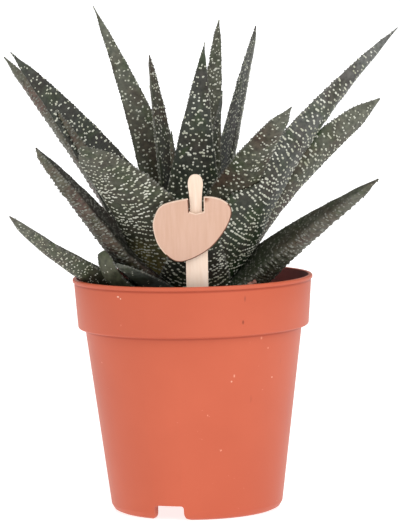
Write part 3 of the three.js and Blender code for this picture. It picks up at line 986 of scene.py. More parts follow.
@dataclass
class Soil:
    """The mix that fills the pot, with its crumbs and bits of bark."""

    pot: Pot
    edge_z: float = 93.0
    mound: float = 1.6
    facets: int = 96
    rings: int = 22
    waves: float = 0.7
    wave_sizes: Pair = (9.0, 3.0)
    crumbs: int = 620
    crumb_radii: Pair = (0.4, 1.3)
    seed: int = 7

    def surface(self, x: float, y: float) -> float:
        """Height of the soil at a place.

        Args:
            x: Distance from the pot's axis to the right.
            y: Distance from the pot's axis to the back.

        Returns:
            The height in millimetres.
        """
        radius = math.hypot(x, y)
        rim = smoothstep(radius, 8, 46)
        broad, small = self.wave_sizes
        waves = noise.noise(Vector((x / broad, y / broad, 3)))
        waves += 0.5 * noise.noise(Vector((x / small, y / small, 8)))
        return self.edge_z + self.mound * (1 - rim) + self.waves * waves

    def build(self) -> None:
        """Makes the soil's body and its loose crumbs."""
        pot = self.pot
        plate_top = pot.foot_height + pot.base_plate + GAP
        inside = pot.wall + GAP
        collar_z = pot.collar_z
        edge = pot.collar_radius(self.edge_z) - inside
        profile = [
            (0.0, plate_top),
            (pot.wall_radius(plate_top) - inside - 0.3, plate_top),
            (pot.wall_radius(collar_z - pot.wall) - inside - 0.2, collar_z - pot.wall),
            (pot.collar_radius(collar_z) - inside - 0.4, collar_z + pot.wall + GAP + 0.2),
        ]
        profile += [(edge * (1 - i / self.rings), self.edge_z) for i in range(self.rings + 1)]
        piece = Piece("potting_mix")
        piece.mesh = spun(profile, self.facets)
        for corner in piece.mesh.verts:
            if corner.co.z > self.edge_z - 0.01:
                corner.co.z = self.surface(corner.co.x, corner.co.y)
        piece.finish(SOIL_MIX, slot="potting_mix", stands_for="soil", smooth=180)
        self.build_crumbs(edge)

    def build_crumbs(self, edge: float) -> None:
        """Makes the crumbs that lie on the soil, half sunk in it.

        Args:
            edge: Radius of the soil's surface in millimetres.
        """
        draw = random.Random(self.seed)
        piece = Piece("soil_crumbs")
        for _ in range(self.crumbs):
            radius = (edge - 1.5) * math.sqrt(draw.uniform(0.05, 1))
            azimuth = draw.uniform(0, math.tau)
            x, y = radius * math.cos(azimuth), radius * math.sin(azimuth)
            size = draw.uniform(*self.crumb_radii)
            shape = Matrix.Diagonal((size * draw.uniform(0.8, 2.2), size, size * draw.uniform(0.5, 0.9), 1))
            turn = Matrix.Rotation(draw.uniform(0, math.tau), 4, "Z")
            turn = turn @ Matrix.Rotation(draw.uniform(-0.4, 0.4), 4, "X")
            place = Matrix.Translation((x, y, self.surface(x, y) + 0.1 * size))
            bmesh.ops.create_icosphere(piece.mesh, subdivisions=1, radius=1, matrix=place @ turn @ shape)
        piece.finish(SOIL_MIX, slot="potting_mix", smooth=20)


class Relief(Enum):
    """How the tubercles of a leaf lie on its outer side."""

    ROWS = "rows"
    LOOSE = "loose"
    RIDGES = "ridges"
    FINE = "fine"
    SMOOTH = "smooth"


@dataclass(frozen=True)
class Scatter:
    """How far apart the rows of tubercles and those in a row stand, and their radius, in millimetres.

    One strays from its row by up to loose times the pitch, and bow is how much a row bends towards the tip.
    """

    pitch: float
    spacing: float
    radius: float
    loose: float
    bow: float

    def on_upper_side(self) -> "Scatter":
        """Gives the sparser, looser scatter of the upper side."""
        return Scatter(max(self.pitch, 2.1), max(self.spacing, 1.9), min(self.radius, 0.36), 0.55, self.bow)


SCATTERS = {
    Relief.ROWS: Scatter(2.6, 1.4, 0.39, 0.16, 0.2),
    Relief.LOOSE: Scatter(2.1, 1.9, 0.39, 0.55, 0.1),
    Relief.RIDGES: Scatter(1.35, 1.9, 0.32, 0.4, 0.0),
    Relief.FINE: Scatter(1.5, 1.5, 0.28, 0.6, 0.0),
    Relief.SMOOTH: Scatter(4.0, 3.5, 0.28, 0.55, 0.0),
}


@dataclass(frozen=True)
class LeafShape:
    """How a leaf grows: it leaves the crown at an azimuth, a height and a rise, and ends at its tip.

    Width and thick are its greatest ones, and a high taper narrows it early. A high reach bends it late, and
    turn twists it about its own line. Angles are in degrees. The upper side is darkened as painted shade by
    the share that shade gives, and pale_edge is -1 or 1 for the side with the horny margin.
    """

    azimuth: float
    height: float
    rise: float
    tip: Triple
    width: float
    thick: float
    tone: Tone
    taper: float
    reach: float = 0.5
    turn: float = 0.0
    relief: Relief = Relief.LOOSE
    shade: float = 0.25
    pale_edge: int = 0


# The first ones are the innermost. From 15 on, all but 16, 17 and 22 to 24 stand behind the others.
LEAVES = [
    LeafShape(-20, 111.5, 86, (15, 2, 183.5), 9, 3.5, Tone.DARK, 0.8),
    LeafShape(200, 111.5, 86, (-8, -3, 166.5), 13, 3.5, Tone.BROWN, 0.8),
    LeafShape(-88, 104.5, 82, (7.5, -14, 205.5), 28, 5.5, Tone.DARK, 1, pale_edge=-1),
    LeafShape(165, 105.5, 83, (-17, 11, 199.5), 20, 5, Tone.OLIVE, 0.9, reach=0.72, turn=-10),
    LeafShape(45, 102.5, 84, (14, 22, 214.5), 18, 6, Tone.MOSS, 0.65, reach=0.55, shade=0.0),
    LeafShape(38, 106.5, 73, (30.5, 20, 211.2), 27, 5.5, Tone.GREY, 0.72, reach=0.62, turn=-20, shade=0.1),
    LeafShape(115, 99.5, 77, (-42.5, 36, 222), 26, 6, Tone.OLIVE, 0.9, reach=0.32, turn=-20, shade=0.0),
    LeafShape(-35, 101.5, 79, (44, -50, 178.4), 28, 6, Tone.OLIVE, 0.58, reach=0.36, turn=-33, pale_edge=-1),
    LeafShape(
        -48, 94.5, 61, (93.6, 15, 209.8), 31, 7, Tone.GREY, 0.82, reach=0.44, turn=-12, relief=Relief.ROWS,
        pale_edge=-1,
    ),
    LeafShape(160, 97.5, 64, (-78, -3, 202.6), 28, 7, Tone.DARK, 0.8, reach=0.45, turn=-50, pale_edge=1),
    LeafShape(-8, 93.5, 84, (85, 5, 179), 28, 7, Tone.OLIVE, 0.4, reach=0.3, turn=-45, relief=Relief.ROWS),
    LeafShape(-88, 93.5, 46, (5, -41, 129), 32, 6, Tone.DARK, 0.45, relief=Relief.ROWS, pale_edge=1),
    LeafShape(
        -106, 93.5, 64, (-46, -66, 164.5), 41, 6, Tone.STRAW, 0.42, reach=0.4, relief=Relief.ROWS,
        pale_edge=1,
    ),
    LeafShape(
        170, 93.5, 63, (-81.3, 8, 200.6), 27, 6, Tone.BROWN, 0.5, reach=0.42, turn=36, relief=Relief.RIDGES
    ),
    LeafShape(90, 95.5, 60, (2, 62, 149.5), 24, 7, Tone.GREY, 0.75, reach=0.4, relief=Relief.ROWS),
    LeafShape(
        -149, 92.5, 49, (-65.5, -42, 162.5), 34, 11, Tone.BROWN, 1.25, reach=0.68, turn=-30,
        relief=Relief.RIDGES, shade=1.0,
    ),
    LeafShape(
        -8, 92.5, 48, (81.3, -33, 146.2), 27, 15, Tone.OLIVE, 0.92, reach=0.3, turn=20, relief=Relief.RIDGES,
        shade=0.45,
    ),
    LeafShape(118, 94.5, 55, (-28, 58, 143.5), 23, 7, Tone.OLIVE, 0.75, reach=0.4, relief=Relief.ROWS),
    LeafShape(62, 94.5, 50, (27, 60, 140.5), 22, 7, Tone.BROWN, 0.75, reach=0.4, relief=Relief.ROWS),
    LeafShape(145, 93.5, 48, (-41, 42, 139.5), 21, 7, Tone.GREY, 0.75, reach=0.4),
    LeafShape(38, 93.5, 50, (38, 40, 138.5), 20, 7, Tone.OLIVE, 0.75, reach=0.4),
    LeafShape(-165, 92.5, 18.5, (-78.3, -30, 133), 20, 10, Tone.OLIVE, 0.32, turn=10, relief=Relief.FINE),
    LeafShape(-145, 93.5, 5, (-37.4, -30, 117.2), 17, 6, Tone.PALE, 0.22, reach=0.8, relief=Relief.SMOOTH),
    LeafShape(-130, 92.5, 30, (-32, -42, 112.5), 22, 6, Tone.BLUE, 0.5, relief=Relief.SMOOTH),
    LeafShape(76, 92.5, 28, (17, 66, 121.5), 18, 7, Tone.GREY, 0.6, reach=0.45, relief=Relief.ROWS),
    LeafShape(104, 92.5, 25, (-18, 65, 118.5), 19, 7, Tone.BROWN, 0.6, reach=0.45),
]


@dataclass(frozen=True)
class LeafStation:
    """The leaf's own line at one place, with the directions of its section."""

    point: Vector
    along: Vector
    across: Vector
    face: Vector


@dataclass
class Leaf:
    """One keeled leaf with its tubercles."""

    shape: LeafShape
    number: int
    sides: int = 28
    steps: int = 56
    base_width: float = 0.55
    base_growth: float = 0.45
    base_thickness: float = 0.5
    widest_at: float = 0.22
    turned_by: float = 0.3
    end: float = 0.99
    thinnest: float = 0.22
    tip_share: float = 0.07
    tip_roundness: float = 0.65
    thinning: float = 0.55
    dish: float = 0.06
    unevenness: float = 0.3
    uneven_size: float = 7.0
    ridge_pitch: float = 2.7
    ridge_height: float = 0.5
    tooth_pitch: float = 1.5
    tooth_radii: Pair = (0.34, 0.56)
    left_out: float = 0.2
    doubled: float = 0.2
    bulge: float = 0.8
    off_surface: float = 0.3
    lot: int = 40
    stations: dict[float, LeafStation] = field(default_factory=dict)

    @property
    def node(self) -> str:
        """Name of the CAD node."""
        return f"leaf_{self.number:02d}"

    @property
    def length(self) -> float:
        """Length of the leaf's line, which bends a little."""
        return (Vector(self.shape.tip) - self.station(0.0).point).length * 1.04

    def station(self, s: float) -> LeafStation:
        """Finds the leaf's line at s.

        Args:
            s: The share of the way from the crown to the tip.

        Returns:
            The place and the directions there.
        """
        if s in self.stations:
            return self.stations[s]
        shape = self.shape
        azimuth, rise = math.radians(shape.azimuth), math.radians(shape.rise)
        outward = Vector((math.cos(azimuth), math.sin(azimuth), 0))
        base = outward * (crown_radius(shape.height) - 1)
        base.z = shape.height
        tip = Vector(shape.tip)
        start = outward * math.cos(rise)
        start.z = math.sin(rise)
        bend = base + start * shape.reach * (tip - base).length
        point = base * (1 - s) ** 2 + bend * (2 * s * (1 - s)) + tip * s * s
        along = ((bend - base) * (1 - s) + (tip - bend) * s).normalized()
        inward = outward * -0.75
        inward.z = 0.65
        face = (inward - along * inward.dot(along)).normalized()
        face.rotate(Quaternion(along, math.radians(shape.turn) * min(1, s / self.turned_by)))
        found = LeafStation(point, along, along.cross(face), face)
        self.stations[s] = found
        return found

    def width(self, s: float) -> float:
        """Gives the width of the leaf.

        Args:
            s: The share of the way from the crown to the tip.

        Returns:
            The width in millimetres.
        """
        if s < self.widest_at:
            grown = self.base_width + self.base_growth * smoothstep(s, 0, self.widest_at)
            return self.shape.width * grown
        return self.shape.width * ((1 - s) / (1 - self.widest_at)) ** self.shape.taper * self.closing(s)

    def closing(self, s: float) -> float:
        """Share of the section that is left near the tip, so that the leaf ends in a point."""
        return min(1, (0.996 - s) / self.tip_share) ** self.tip_roundness

    def thickness(self, s: float) -> float:
        """Thickness of the leaf at s."""
        grown = min(1, self.base_thickness + (1 - self.base_thickness) * s / self.widest_at)
        return self.shape.thick * grown * (1 - s) ** self.thinning * self.closing(s)

    def section_height(self, s: float, x: float, y: float) -> float:
        """Height of the section: a shallow dish above, and a keel below that sharpens to the tip.

        Args:
            s: The share of the way from the crown to the tip.
            x: Place across the leaf, from -1 to 1.
            y: Place up the unit circle, above 0 on the upper side.

        Returns:
            The height over the leaf's own line, in millimetres.
        """
        thick = self.thickness(s)
        keel = 0.25 + 0.5 * s
        if y >= 0:
            return 0.2 * thick * abs(y) ** 0.6 - self.dish * self.width(s) * (1 - abs(x) ** 1.4)
        ridge = 1 - math.sqrt(x * x + 0.01) + 0.005
        return -thick * ((1 - keel) * abs(y) + keel * max(0.0, ridge))

    def ridge(self, s: float, x: float, y: float) -> float:
        """Gives how near the crest of a ridge a place lies, on leaves whose outer side has ridges.

        Args:
            s: The share of the way from the crown to the tip.
            x: Place across the leaf, from -1 to 1.
            y: Place up the unit circle, above 0 on the upper side.

        Returns:
            A value from 0 to 1.
        """
        if self.shape.relief != Relief.RIDGES or y > 0.05:
            return 0.0
        drift = noise.noise(Vector((2.2 * x, s * self.length / 5, self.number)))
        turn = math.tau * (s * self.length / self.ridge_pitch + 0.7 * drift) + 1.2 * x
        return max(0.0, math.sin(turn)) * min(1.0, 6 * (1 - s))

    def point(self, s: float, x: float, y: float, extra: float = 0.0) -> Vector:
        """Gives a point of the leaf's surface.

        Args:
            s: The share of the way from the crown to the tip.
            x: Place across the leaf on the unit circle.
            y: Place up the unit circle.
            extra: How far the point is moved out.

        Returns:
            The point in millimetres.
        """
        here = self.station(s)
        extra += self.ridge_height * self.ridge(s, x, y)
        half = max(self.width(s) / 2, self.thinnest) + extra
        height = self.section_height(s, x, y) + (extra + self.thinnest) * y
        place = here.point + here.across * (half * x) + here.face * height
        return place + self.unevenness * noise.noise_vector(place / self.uneven_size)

    def blade(self, sides: int, steps: int, extra: float = 0.0) -> Mesh:
        """Makes the bare blade from a tube that is bent, widened and flattened.

        Args:
            sides: How many facets go round the leaf.
            steps: How many go along it.
            extra: How far the surface is moved out.

        Returns:
            The closed mesh, with how far along and across each corner lies.
        """
        mesh = tube(sides, steps)
        along, across, upper, crest = (
            mesh.verts.layers.float.new(name) for name in ("along", "across", "upper", "crest")
        )
        for corner in mesh.verts:
            s = round((corner.co.z + 0.5) * steps) / steps * self.end
            x, y = corner.co.x, corner.co.y
            corner[along] = s
            corner[across] = abs(x) * (1.0 if x * self.shape.pale_edge > 0 else 0.97)
            corner[crest] = self.ridge(s, x, y)
            # The leaf's share of painted shade on its upper side.
            corner[upper] = self.shape.shade * min(1.0, max(0.0, 0.5 + 4 * y))
            corner.co = self.point(s, x, y, extra)
        face_out(mesh)
        return mesh

    def across_places(self, s: float, side: int, shares: list[float]) -> list[float]:
        """Spreads places evenly round one side of the section.

        Args:
            s: The share of the way from the crown to the tip.
            side: 1 on the upper side and -1 on the outer side.
            shares: How far round the side each place is, from 0 to 1.

        Returns:
            Places across the leaf, from -1 to 1.
        """
        half = self.width(s) / 2
        turns = [math.pi * k / 20 for k in range(21)]
        line = [
            Vector((-half * math.cos(turn), self.section_height(s, -math.cos(turn), side * math.sin(turn))))
            for turn in turns
        ]
        lengths = [0.0]
        for before, after in zip(line, line[1:]):
            lengths.append(lengths[-1] + (after - before).length)
        places = []
        for share in shares:
            goal = share * lengths[-1]
            k = min(bisect_left(lengths, goal, 1), 20)
            part = (goal - lengths[k - 1]) / max(lengths[k] - lengths[k - 1], 1e-6)
            places.append(-math.cos(turns[k - 1] + (turns[k] - turns[k - 1]) * part))
        return places

    def spots(self, draw: random.Random) -> Iterator[tuple[float, float, int, float]]:
        """Lays out the tubercles by the leaf's own rule.

        Args:
            draw: The seeded draw of this leaf.

        Yields:
            Place along, place across, side (-1 is the outer side) and radius in millimetres.
        """
        length = self.length
        scatter = SCATTERS[self.shape.relief]
        for side in (-1, 1):
            if side > 0 and self.shape.relief != Relief.FINE:
                scatter = scatter.on_upper_side()
            rows = int(0.94 * length / scatter.pitch)
            for row in range(1, rows):
                s = 0.05 + 0.94 * row / rows
                count = max(1, round(1.1 * self.width(s) / scatter.spacing))
                phase = draw.random()
                shares = [(k + phase + draw.uniform(-0.3, 0.3)) / count for k in range(count)]
                kept = [share for share in shares if 0.01 < share < 0.99 and draw.random() > self.left_out]
                for x in self.across_places(s, side, kept):
                    drift = noise.noise(Vector((2.5 * x, 0.4 * row, self.number)))
                    stray = draw.uniform(-scatter.loose, scatter.loose) * (0.5 + 1.5 * s)
                    wave = (0.3 * math.sin(3.1 * x + 0.7 * row) + 0.6 * drift + stray) * scatter.pitch
                    bowed = scatter.bow * self.width(s) * x * x
                    place = min(0.985, max(0.03, s + (wave + bowed) / length))
                    radius = scatter.radius * draw.uniform(0.75, 1.25) * self.smaller(s)
                    yield place, x, side, radius
                    if draw.random() < self.doubled:
                        step = 1.6 * radius / max(self.width(s) / 2, 1)
                        yield place, min(0.98, x + step), side, radius * draw.uniform(0.75, 1)

    def smaller(self, s: float) -> float:
        """Share of a tubercle's size that is left at s, because they get smaller towards the tip."""
        return 0.6 + 0.4 * min(1, (1 - s) * 4)

    def margin_spots(self, draw: random.Random) -> Iterator[tuple[float, float, int, float]]:
        """Lays out the small teeth along both margins, in the same form as the tubercles.

        Args:
            draw: The seeded draw of this leaf.

        Yields:
            Place along, place across, side and radius in millimetres.
        """
        count = int(self.length / self.tooth_pitch)
        for edge in (-1, 1):
            for k in range(1, count):
                s = 0.06 + 0.92 * (k + draw.uniform(-0.25, 0.25)) / count
                if draw.random() > self.left_out:
                    yield min(s, 0.98), edge * 0.995, -1, draw.uniform(*self.tooth_radii) * self.smaller(s)

    def broad(self, side: int, number: int) -> float:
        """Gives how much longer a tubercle is across the leaf: most on ridges, and a little in rows.

        Args:
            side: 1 on the upper side and -1 on the outer side.
            number: 1 for a tubercle, and 2 for a tooth of the margin.

        Returns:
            The length across for a length of 1 along.
        """
        if side < 0 and number == 1 and self.shape.relief == Relief.RIDGES:
            return 2.2
        return 1.3 if side < 0 and self.shape.relief == Relief.ROWS else 1.05

    def stand(self, s: float, here: Vector, out: Vector, radius: float, broad: float) -> Matrix:
        """Gives the matrix that takes a unit dome to its place.

        Args:
            s: The share of the way from the crown to the tip.
            here: The place on the leaf.
            out: The way out of the leaf there.
            radius: The tubercle's radius in millimetres.
            broad: How much longer it is across the leaf than along it.

        Returns:
            The matrix.
        """
        along = self.station(s).along
        lengthwise = (along - out * along.dot(out)).normalized()
        frame = Matrix((lengthwise.cross(out), lengthwise, out)).transposed().to_4x4()
        size = Matrix.Diagonal((radius * broad, radius, radius * self.bulge, 1))
        return Matrix.Translation(here) @ frame @ size

    def build(self, inner: Mesh, dome: bpy.types.Mesh) -> Mesh:
        """Makes the leaf, clear of what lies inside it.

        Args:
            inner: The space that the crown, the soil and the inner leaves take.
            dome: The shape of one tubercle.

        Returns:
            That space with this leaf's own added.
        """
        piece = Piece(f"haworthia_{self.node}")
        finer = 3 if self.shape.relief == Relief.RIDGES else 1
        mesh = largest_body(cut(self.blade(self.sides, finer * self.steps), inner))
        surface = BVHTree.FromBMesh(mesh)
        draw = random.Random(100 + self.number)
        lots: list[list[tuple[Matrix, int]]] = [[]]
        for number, spots in ((1, self.spots(draw)), (2, self.margin_spots(draw))):
            for s, x, side, radius in spots:
                broad = self.broad(side, number)
                y = side * math.sqrt(max(0.0, 1 - x * x))
                here, out, _, away = surface.find_nearest(self.point(s, x, y))
                if away > self.off_surface:
                    continue
                lots[-1].append((self.stand(s, here, out, radius, broad), self.chalk(number, x, side)))
                if len(lots[-1]) == self.lot:
                    lots.append([])
        for lot in lots:
            self.add_domes(mesh, dome, lot)
        piece.mesh = mesh
        skin = SKINS[self.shape.tone]
        piece.finish(skin, PEARL, PEARL_HORNY, PEARL_TOOTH, slot=skin.slot, stands_for=self.node, smooth=60)
        return cut(inner, self.blade(14, 20, LEAF_CLEARANCE), "UNION")

    def chalk(self, number: int, x: float, side: int) -> int:
        """Gives the material of a tubercle, which is duller on a ridged outer side and on most margins, and
        dull as painted shade on a ridged upper side.

        Args:
            number: 1 for a tubercle, and 2 for a tooth of the margin.
            x: Place across the leaf, from -1 to 1.
            side: 1 on the upper side and -1 on the outer side.

        Returns:
            The number of the material on the leaf: 1 is chalky, 2 is horny and 3 is a dull tooth.
        """
        # On the upper side of a ridged leaf the tubercles take the dull tooth colour, as painted shade.
        if number == 1 and self.shape.relief == Relief.RIDGES:
            return 2 if side < 0 else 3
        if number == 1:
            return 1
        return 2 if x * self.shape.pale_edge > 0 else 3

    def add_domes(self, mesh: Mesh, dome: bpy.types.Mesh, lot: list[tuple[Matrix, int]]) -> None:
        """Adds a lot of tubercles to the leaf.

        Args:
            mesh: The leaf's mesh.
            dome: The shape of one tubercle.
            lot: Where each one stands, and the number of its material.
        """
        beads = bmesh.new()
        for place, number in lot:
            corners, faces = len(beads.verts), len(beads.faces)
            beads.from_mesh(dome)
            beads.verts.ensure_lookup_table()
            beads.faces.ensure_lookup_table()
            bmesh.ops.transform(beads, matrix=place, verts=beads.verts[corners:])
            for face in beads.faces[faces:]:
                face.material_index = number
        data = mesh_data("beads", beads)
        beads.free()
        mesh.from_mesh(data)
        bpy.data.meshes.remove(data)


# How far a leaf keeps from the ones inside it.
LEAF_CLEARANCE = 0.75
# The crown is a thin stem that flares out towards the soil.
CROWN_TIP_RADIUS = 4.0
CROWN_FLARE = 7.0
CROWN_FLARE_Z = 92.5
CROWN_FLARE_HEIGHT = 8.0


def crown_radius(z: float) -> float:
    """Radius of the short stem at a height."""
    return CROWN_TIP_RADIUS + CROWN_FLARE * math.exp((CROWN_FLARE_Z - z) / CROWN_FLARE_HEIGHT)


@dataclass
class Rosette:
    """The crown and all its leaves."""

    soil: Soil
    bottom_z: float = 82.5
    bottom_radius: float = 6.0
    top_z: float = 115.5
    top_radius: float = 2.0
    under_ground: float = 60.0
    ground_radius: float = 46.0
    mound_radius: float = 20.0

    def dome(self) -> bpy.types.Mesh:
        """Makes the shape of one tubercle: a low dome on a spread foot, a unit wide.

        Returns:
            The mesh, with how near its crest each corner lies.
        """
        mesh = bmesh.new()
        crest = mesh.verts.layers.float.new("crest")
        for name in ("along", "across", "upper"):
            mesh.verts.layers.float.new(name)
        bmesh.ops.create_circle(mesh, cap_ends=True, segments=6, radius=1.3)
        bmesh.ops.translate(mesh, vec=(0, 0, -0.12), verts=mesh.verts)
        for inset, rise in ((0.32, 0.45), (0.42, 0.32)):
            top = [face for face in mesh.faces if face.normal.z > 0.9][-1:]
            bmesh.ops.inset_region(mesh, faces=top, thickness=inset, use_even_offset=True, use_boundary=True)
            bmesh.ops.translate(mesh, vec=(0, 0, rise), verts=top[0].verts)
            for corner in top[0].verts:
                corner[crest] = 1.0
        data = mesh_data("tubercle", mesh)
        mesh.free()
        return data

    def crown(self) -> Mesh:
        """Makes the space of the crown, a gap wider than the crown itself.

        Returns:
            The closed mesh.
        """
        profile = [(0.0, self.bottom_z - GAP), (self.bottom_radius + GAP, self.bottom_z - GAP)]
        profile += [(crown_radius(CROWN_FLARE_Z) + GAP, CROWN_FLARE_Z - 4)]
        for up in (0, 5, 10, 15, 20):
            profile += [(crown_radius(CROWN_FLARE_Z + up) + GAP, CROWN_FLARE_Z + up)]
        profile += [(self.top_radius + GAP, self.top_z + GAP), (0.0, self.top_z + GAP)]
        return spun(profile, 24)

    def ground(self) -> Mesh:
        """Makes the space under the leaves that the soil takes.

        Returns:
            The closed mesh.
        """
        low, edge = self.under_ground, self.soil.edge_z + 2 * GAP
        top = self.soil.edge_z + self.soil.mound + 2 * GAP
        outer, inner = self.ground_radius, self.mound_radius
        return spun([(0.0, low), (outer, low), (outer, edge), (inner, top), (0.0, top)], 48)

    def build(self) -> None:
        """Makes every leaf, from the innermost out."""
        dome = self.dome()
        inner = cut(self.crown(), self.ground(), "UNION")
        for number, shape in enumerate(LEAVES, 1):
            inner = Leaf(shape, number).build(inner, dome)
        inner.free()
        bpy.data.meshes.remove(dome)


@dataclass
class DryLeaf:
    """The shrivelled leaf that lies against the crown at the front."""

    path: tuple[Triple, ...] = ((6, -14, 95.5), (14, -27, 96.2), (21, -36, 98.6), (27, -38, 103))
    half_width: float = 2.6
    half_thickness: float = 0.7
    swelling: float = 0.5
    crumples: tuple[Pair, ...] = ((0.5, 0.6), (0.6, 1.4))
    sides: int = 24
    steps: int = 100

    def at(self, s: float) -> Vector:
        """Gives a place on the strip's line.

        Args:
            s: The share of the way from the crown to the rim.

        Returns:
            The place in millimetres.
        """
        spans = len(self.path) - 1
        i = min(int(s * spans), spans - 1)
        t = s * spans - i
        before = Vector(self.path[max(i - 1, 0)])
        a, b = Vector(self.path[i]), Vector(self.path[i + 1])
        after = Vector(self.path[min(i + 2, spans)])
        if i == 0:
            before = a * 2 - b
        if i == spans - 1:
            after = b * 2 - a
        return through(before, a, b, after, t)

    def build(self) -> None:
        """Makes the strip from a tube, flattened and crumpled."""
        piece = Piece("dry_leaf_remains")
        piece.mesh = tube(self.sides, self.steps)
        for corner in piece.mesh.verts:
            s = corner.co.z + 0.5
            along = (self.at(min(1, s + 0.01)) - self.at(max(0, s - 0.01))).normalized()
            across = Vector((0, 0, 1)).cross(along).normalized()
            up = along.cross(across)
            half = self.half_width * math.sin(math.pi * (0.12 + 0.8 * s))
            half *= 1 + 0.35 * noise.noise(Vector((9 * s, 0, 5)))
            height = self.half_thickness + self.swelling * math.sin(9 * s)
            place = self.at(s) - across * (half * corner.co.x) + up * (height * corner.co.y)
            crumples = (depth * noise.noise_vector(place * often) for depth, often in self.crumples)
            corner.co = place + sum(crumples, Vector())
        face_out(piece.mesh)
        piece.finish(DEAD_LEAF, slot="dry_leaf", stands_for="dry_leaf", smooth=70)


@dataclass
class Pick:
    """The wooden stick in the soil and the bare tag on it."""

    x: float = 2.1
    y: float = -42.6
    pivot_z: float = 102.5
    lean: float = 4.0
    stick_thick: float = 1.6
    stick_width: float = 9.4
    bottom_z: float = 62.5
    shoulder_z: float = 130.5
    neck_z: float = 134.5
    neck_width: float = 5.1
    head_width: float = 6.5
    head_z: float = 145.3
    top_z: float = 150.0
    tag_thick: float = 2.0
    tag_centre: Pair = (-1.6, 126.9)
    notch_width: float = 6.8
    notch_left: float = 2.9
    notch_bottom: float = 6.6
    notch_point: float = 0.8
    stick_rounding: float = 0.25
    tag_rounding: float = 0.45
    # Faces that the notch leaves thinner than this are merged, or the edge can't be rounded.
    shortest_edge: float = 0.35
    tag_edge: tuple[Pair, ...] = (
        (-16.7, 0.8), (-15.9, 5.9), (-12.9, 10.4), (-5.7, 12.5), (5.9, 13.8), (12.8, 12.3),
        (16.7, 8.2), (14.8, 1), (7.8, -7.9), (-1.5, -13.1), (-8.2, -13.3), (-14.3, -7.1),
    )

    def stand(self, mesh: Mesh, back: float) -> None:
        """Leans a flat piece and puts it in its place.

        Args:
            mesh: The flat piece, with its back at Y = 0.
            back: How far its back lies behind the middle of the stick.
        """
        place = (
            Matrix.Translation((self.x, self.y, self.pivot_z))
            @ Matrix.Rotation(math.radians(self.lean), 4, "X")
            @ Matrix.Translation((0, back, -self.pivot_z))
        )
        bmesh.ops.transform(mesh, matrix=place, verts=mesh.verts)

    def stick_outline(self) -> list[Pair]:
        """Gives the stick's outline: a broad blade, a narrow neck and a rounded head.

        Returns:
            Points across and up, in millimetres.
        """
        blade, neck, head = self.stick_width / 2, self.neck_width / 2, self.head_width / 2
        foot = self.bottom_z + blade
        turns = [i * math.pi / 24 for i in range(1, 13)]
        right = [(blade * math.sin(turn), foot - blade * math.cos(turn)) for turn in turns]
        right += [(blade, self.shoulder_z - 2)]
        right += bent((blade, self.shoulder_z - 2), (blade, self.shoulder_z), (neck, self.neck_z), 10)
        right += bent((neck, self.neck_z), (neck, self.head_z - 4), (head, self.head_z), 10)
        right += bent((head, self.head_z), (head, self.top_z), (0, self.top_z), 12)[:-1]
        left = [(-x, z) for x, z in reversed(right)]
        return [(0, self.bottom_z)] + right + [(0, self.top_z)] + left

    def tag_outline(self) -> list[Pair]:
        """Gives the tag's outline without its notch, rounded through the edge points.

        Returns:
            Points across and up, in millimetres.
        """
        points = []
        edge = self.tag_edge
        for i in range(len(edge)):
            corners = [Vector(edge[(i + k) % len(edge)]) for k in (-1, 0, 1, 2)]
            for j in range(8):
                point = through(*corners, j / 8)
                points.append((point.x + self.tag_centre[0], point.y + self.tag_centre[1]))
        return points

    def build(self) -> None:
        """Makes the stick and the tag."""
        stick = Piece("birch_stick")
        stick.mesh = plate(self.stick_outline(), self.stick_thick)
        round_edges(stick.mesh, self.stick_rounding, 3, 60)
        self.stand(stick.mesh, self.stick_thick / 2)
        stick.finish(STICK_WOOD, slot="bare_birch", stands_for="pick_stick", smooth=40)
        tag = Piece("wooden_tag")
        half, bottom = self.notch_width / 2, self.tag_centre[1] + self.notch_bottom
        top = self.tag_centre[1] + 20
        notch = plate(
            [
                (-self.notch_left, bottom + self.notch_point), (0, bottom),
                (half, bottom + self.notch_point), (half, top), (-self.notch_left, top),
            ],
            3 * self.tag_thick,
        )
        bmesh.ops.translate(notch, vec=(0, self.tag_thick, 0), verts=notch.verts)
        tag.mesh = cut(plate(self.tag_outline(), self.tag_thick), notch)
        bmesh.ops.remove_doubles(tag.mesh, verts=tag.mesh.verts, dist=self.shortest_edge)
        round_edges(tag.mesh, self.tag_rounding, 2, 60)
        tag.mesh.normal_update()
        # Edge faces that turn down and right take the scorched finish as painted shade, and those that turn up
        # and left take the pale finish as painted highlight.
        for face in tag.mesh.faces:
            if abs(face.normal.y) > 0.95:
                face.material_index = 0
            else:
                face.material_index = 1 if face.normal.x > face.normal.z else 2
        self.stand(tag.mesh, -self.stick_thick / 2 - GAP)
        tag.finish(TAG_FACE, TAG_EDGE_SCORCH_AND_SHADE, TAG_RIM_HIGHLIGHT, slot="tag_wood", stands_for="pick_tag", smooth=40)


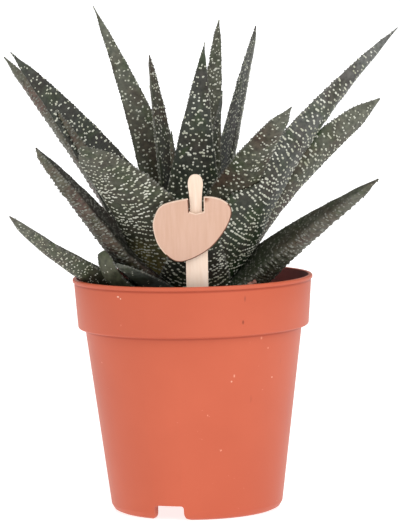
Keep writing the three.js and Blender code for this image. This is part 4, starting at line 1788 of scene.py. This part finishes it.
@dataclass
class Studio:
    """The floor, the soft lights and the camera at the photograph's angle."""

    target: Triple = (3.4, 0.0, 108.1)
    distance: float = 1500.0
    eye_height: float = 247.5
    roll: float = 1.2
    lens: float = 236.1
    lights: tuple[tuple[str, float, float, float, float], ...] = (
        ("key", -62, 42, 50, 1.65),
        ("fill", -150, 30, 80, 0.5),
        ("back", 100, 50, 60, 0.55),
    )
    ambient: float = 0.5

    def light(self, name: str, azimuth: float, elevation: float, spread: float, power: float) -> None:
        """Adds a broad distant light, which lights the sheet as evenly as a bank of softboxes.

        Args:
            name: The light's name.
            azimuth: Where it stands, in degrees round the pot from the right.
            elevation: How high it stands, in degrees.
            spread: How broad it looks from the plant, in degrees.
            power: Its strength in watts to the square metre.
        """
        data = bpy.data.lights.new(name, "SUN")
        data.angle = math.radians(spread)
        data.energy = power
        lamp = linked(name, data)
        turn, lift = math.radians(azimuth), math.radians(elevation)
        away = Vector((math.cos(turn) * math.cos(lift), math.sin(turn) * math.cos(lift), math.sin(lift)))
        lamp.location = away * 2
        lamp.rotation_euler = away.to_track_quat("Z", "Y").to_euler()

    def camera(self) -> None:
        """Sets the camera up."""
        axis = placing().translation
        data = bpy.data.cameras.new("camera")
        data.lens = self.lens
        data.sensor_width = 36
        data.clip_end = 50
        eye = linked("camera", data)
        target = Vector(self.target) * MM + axis
        eye.location = Vector((self.target[0], -self.distance, self.eye_height)) * MM + axis
        look = (target - eye.location).to_track_quat("-Z", "Y")
        look = look @ Quaternion((0, 0, 1), -math.radians(self.roll))
        eye.rotation_euler = look.to_euler()
        bpy.context.scene.camera = eye

    def build(self) -> None:
        """Makes the floor, the lights and the camera."""
        mesh = bmesh.new()
        bmesh.ops.create_grid(mesh, x_segments=1, y_segments=1, size=20)
        data = mesh_data("floor", mesh)
        mesh.free()
        data.materials.append(made(FLOOR_PAPER))
        floor = linked("floor", data)
        for light in self.lights:
            self.light(*light)
        world = bpy.data.worlds.new("studio")
        world.use_nodes = True
        background = world.node_tree.nodes["Background"]
        background.inputs["Color"].default_value = (1, 1, 1, 1)
        background.inputs["Strength"].default_value = self.ambient
        bpy.context.scene.world = world
        bpy.context.scene.view_settings.view_transform = "Standard"
        self.camera()


def main() -> None:
    """Builds the plant, its pot, the pick and the studio."""
    logging.basicConfig(level=logging.INFO, format="%(message)s")
    noise.seed_set(NOISE_SEED)
    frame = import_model()
    pot = Pot()
    soil = Soil(pot)
    pot.build()
    soil.build()
    Rosette(soil).build()
    crown = frame["nodes"]["stem_and_roots"]
    crown.data.materials.clear()
    crown.data.materials.append(made(ROOT_SKIN))
    DryLeaf().build()
    Pick().build()
    Studio().build()


if __name__ == "__main__":
    main()
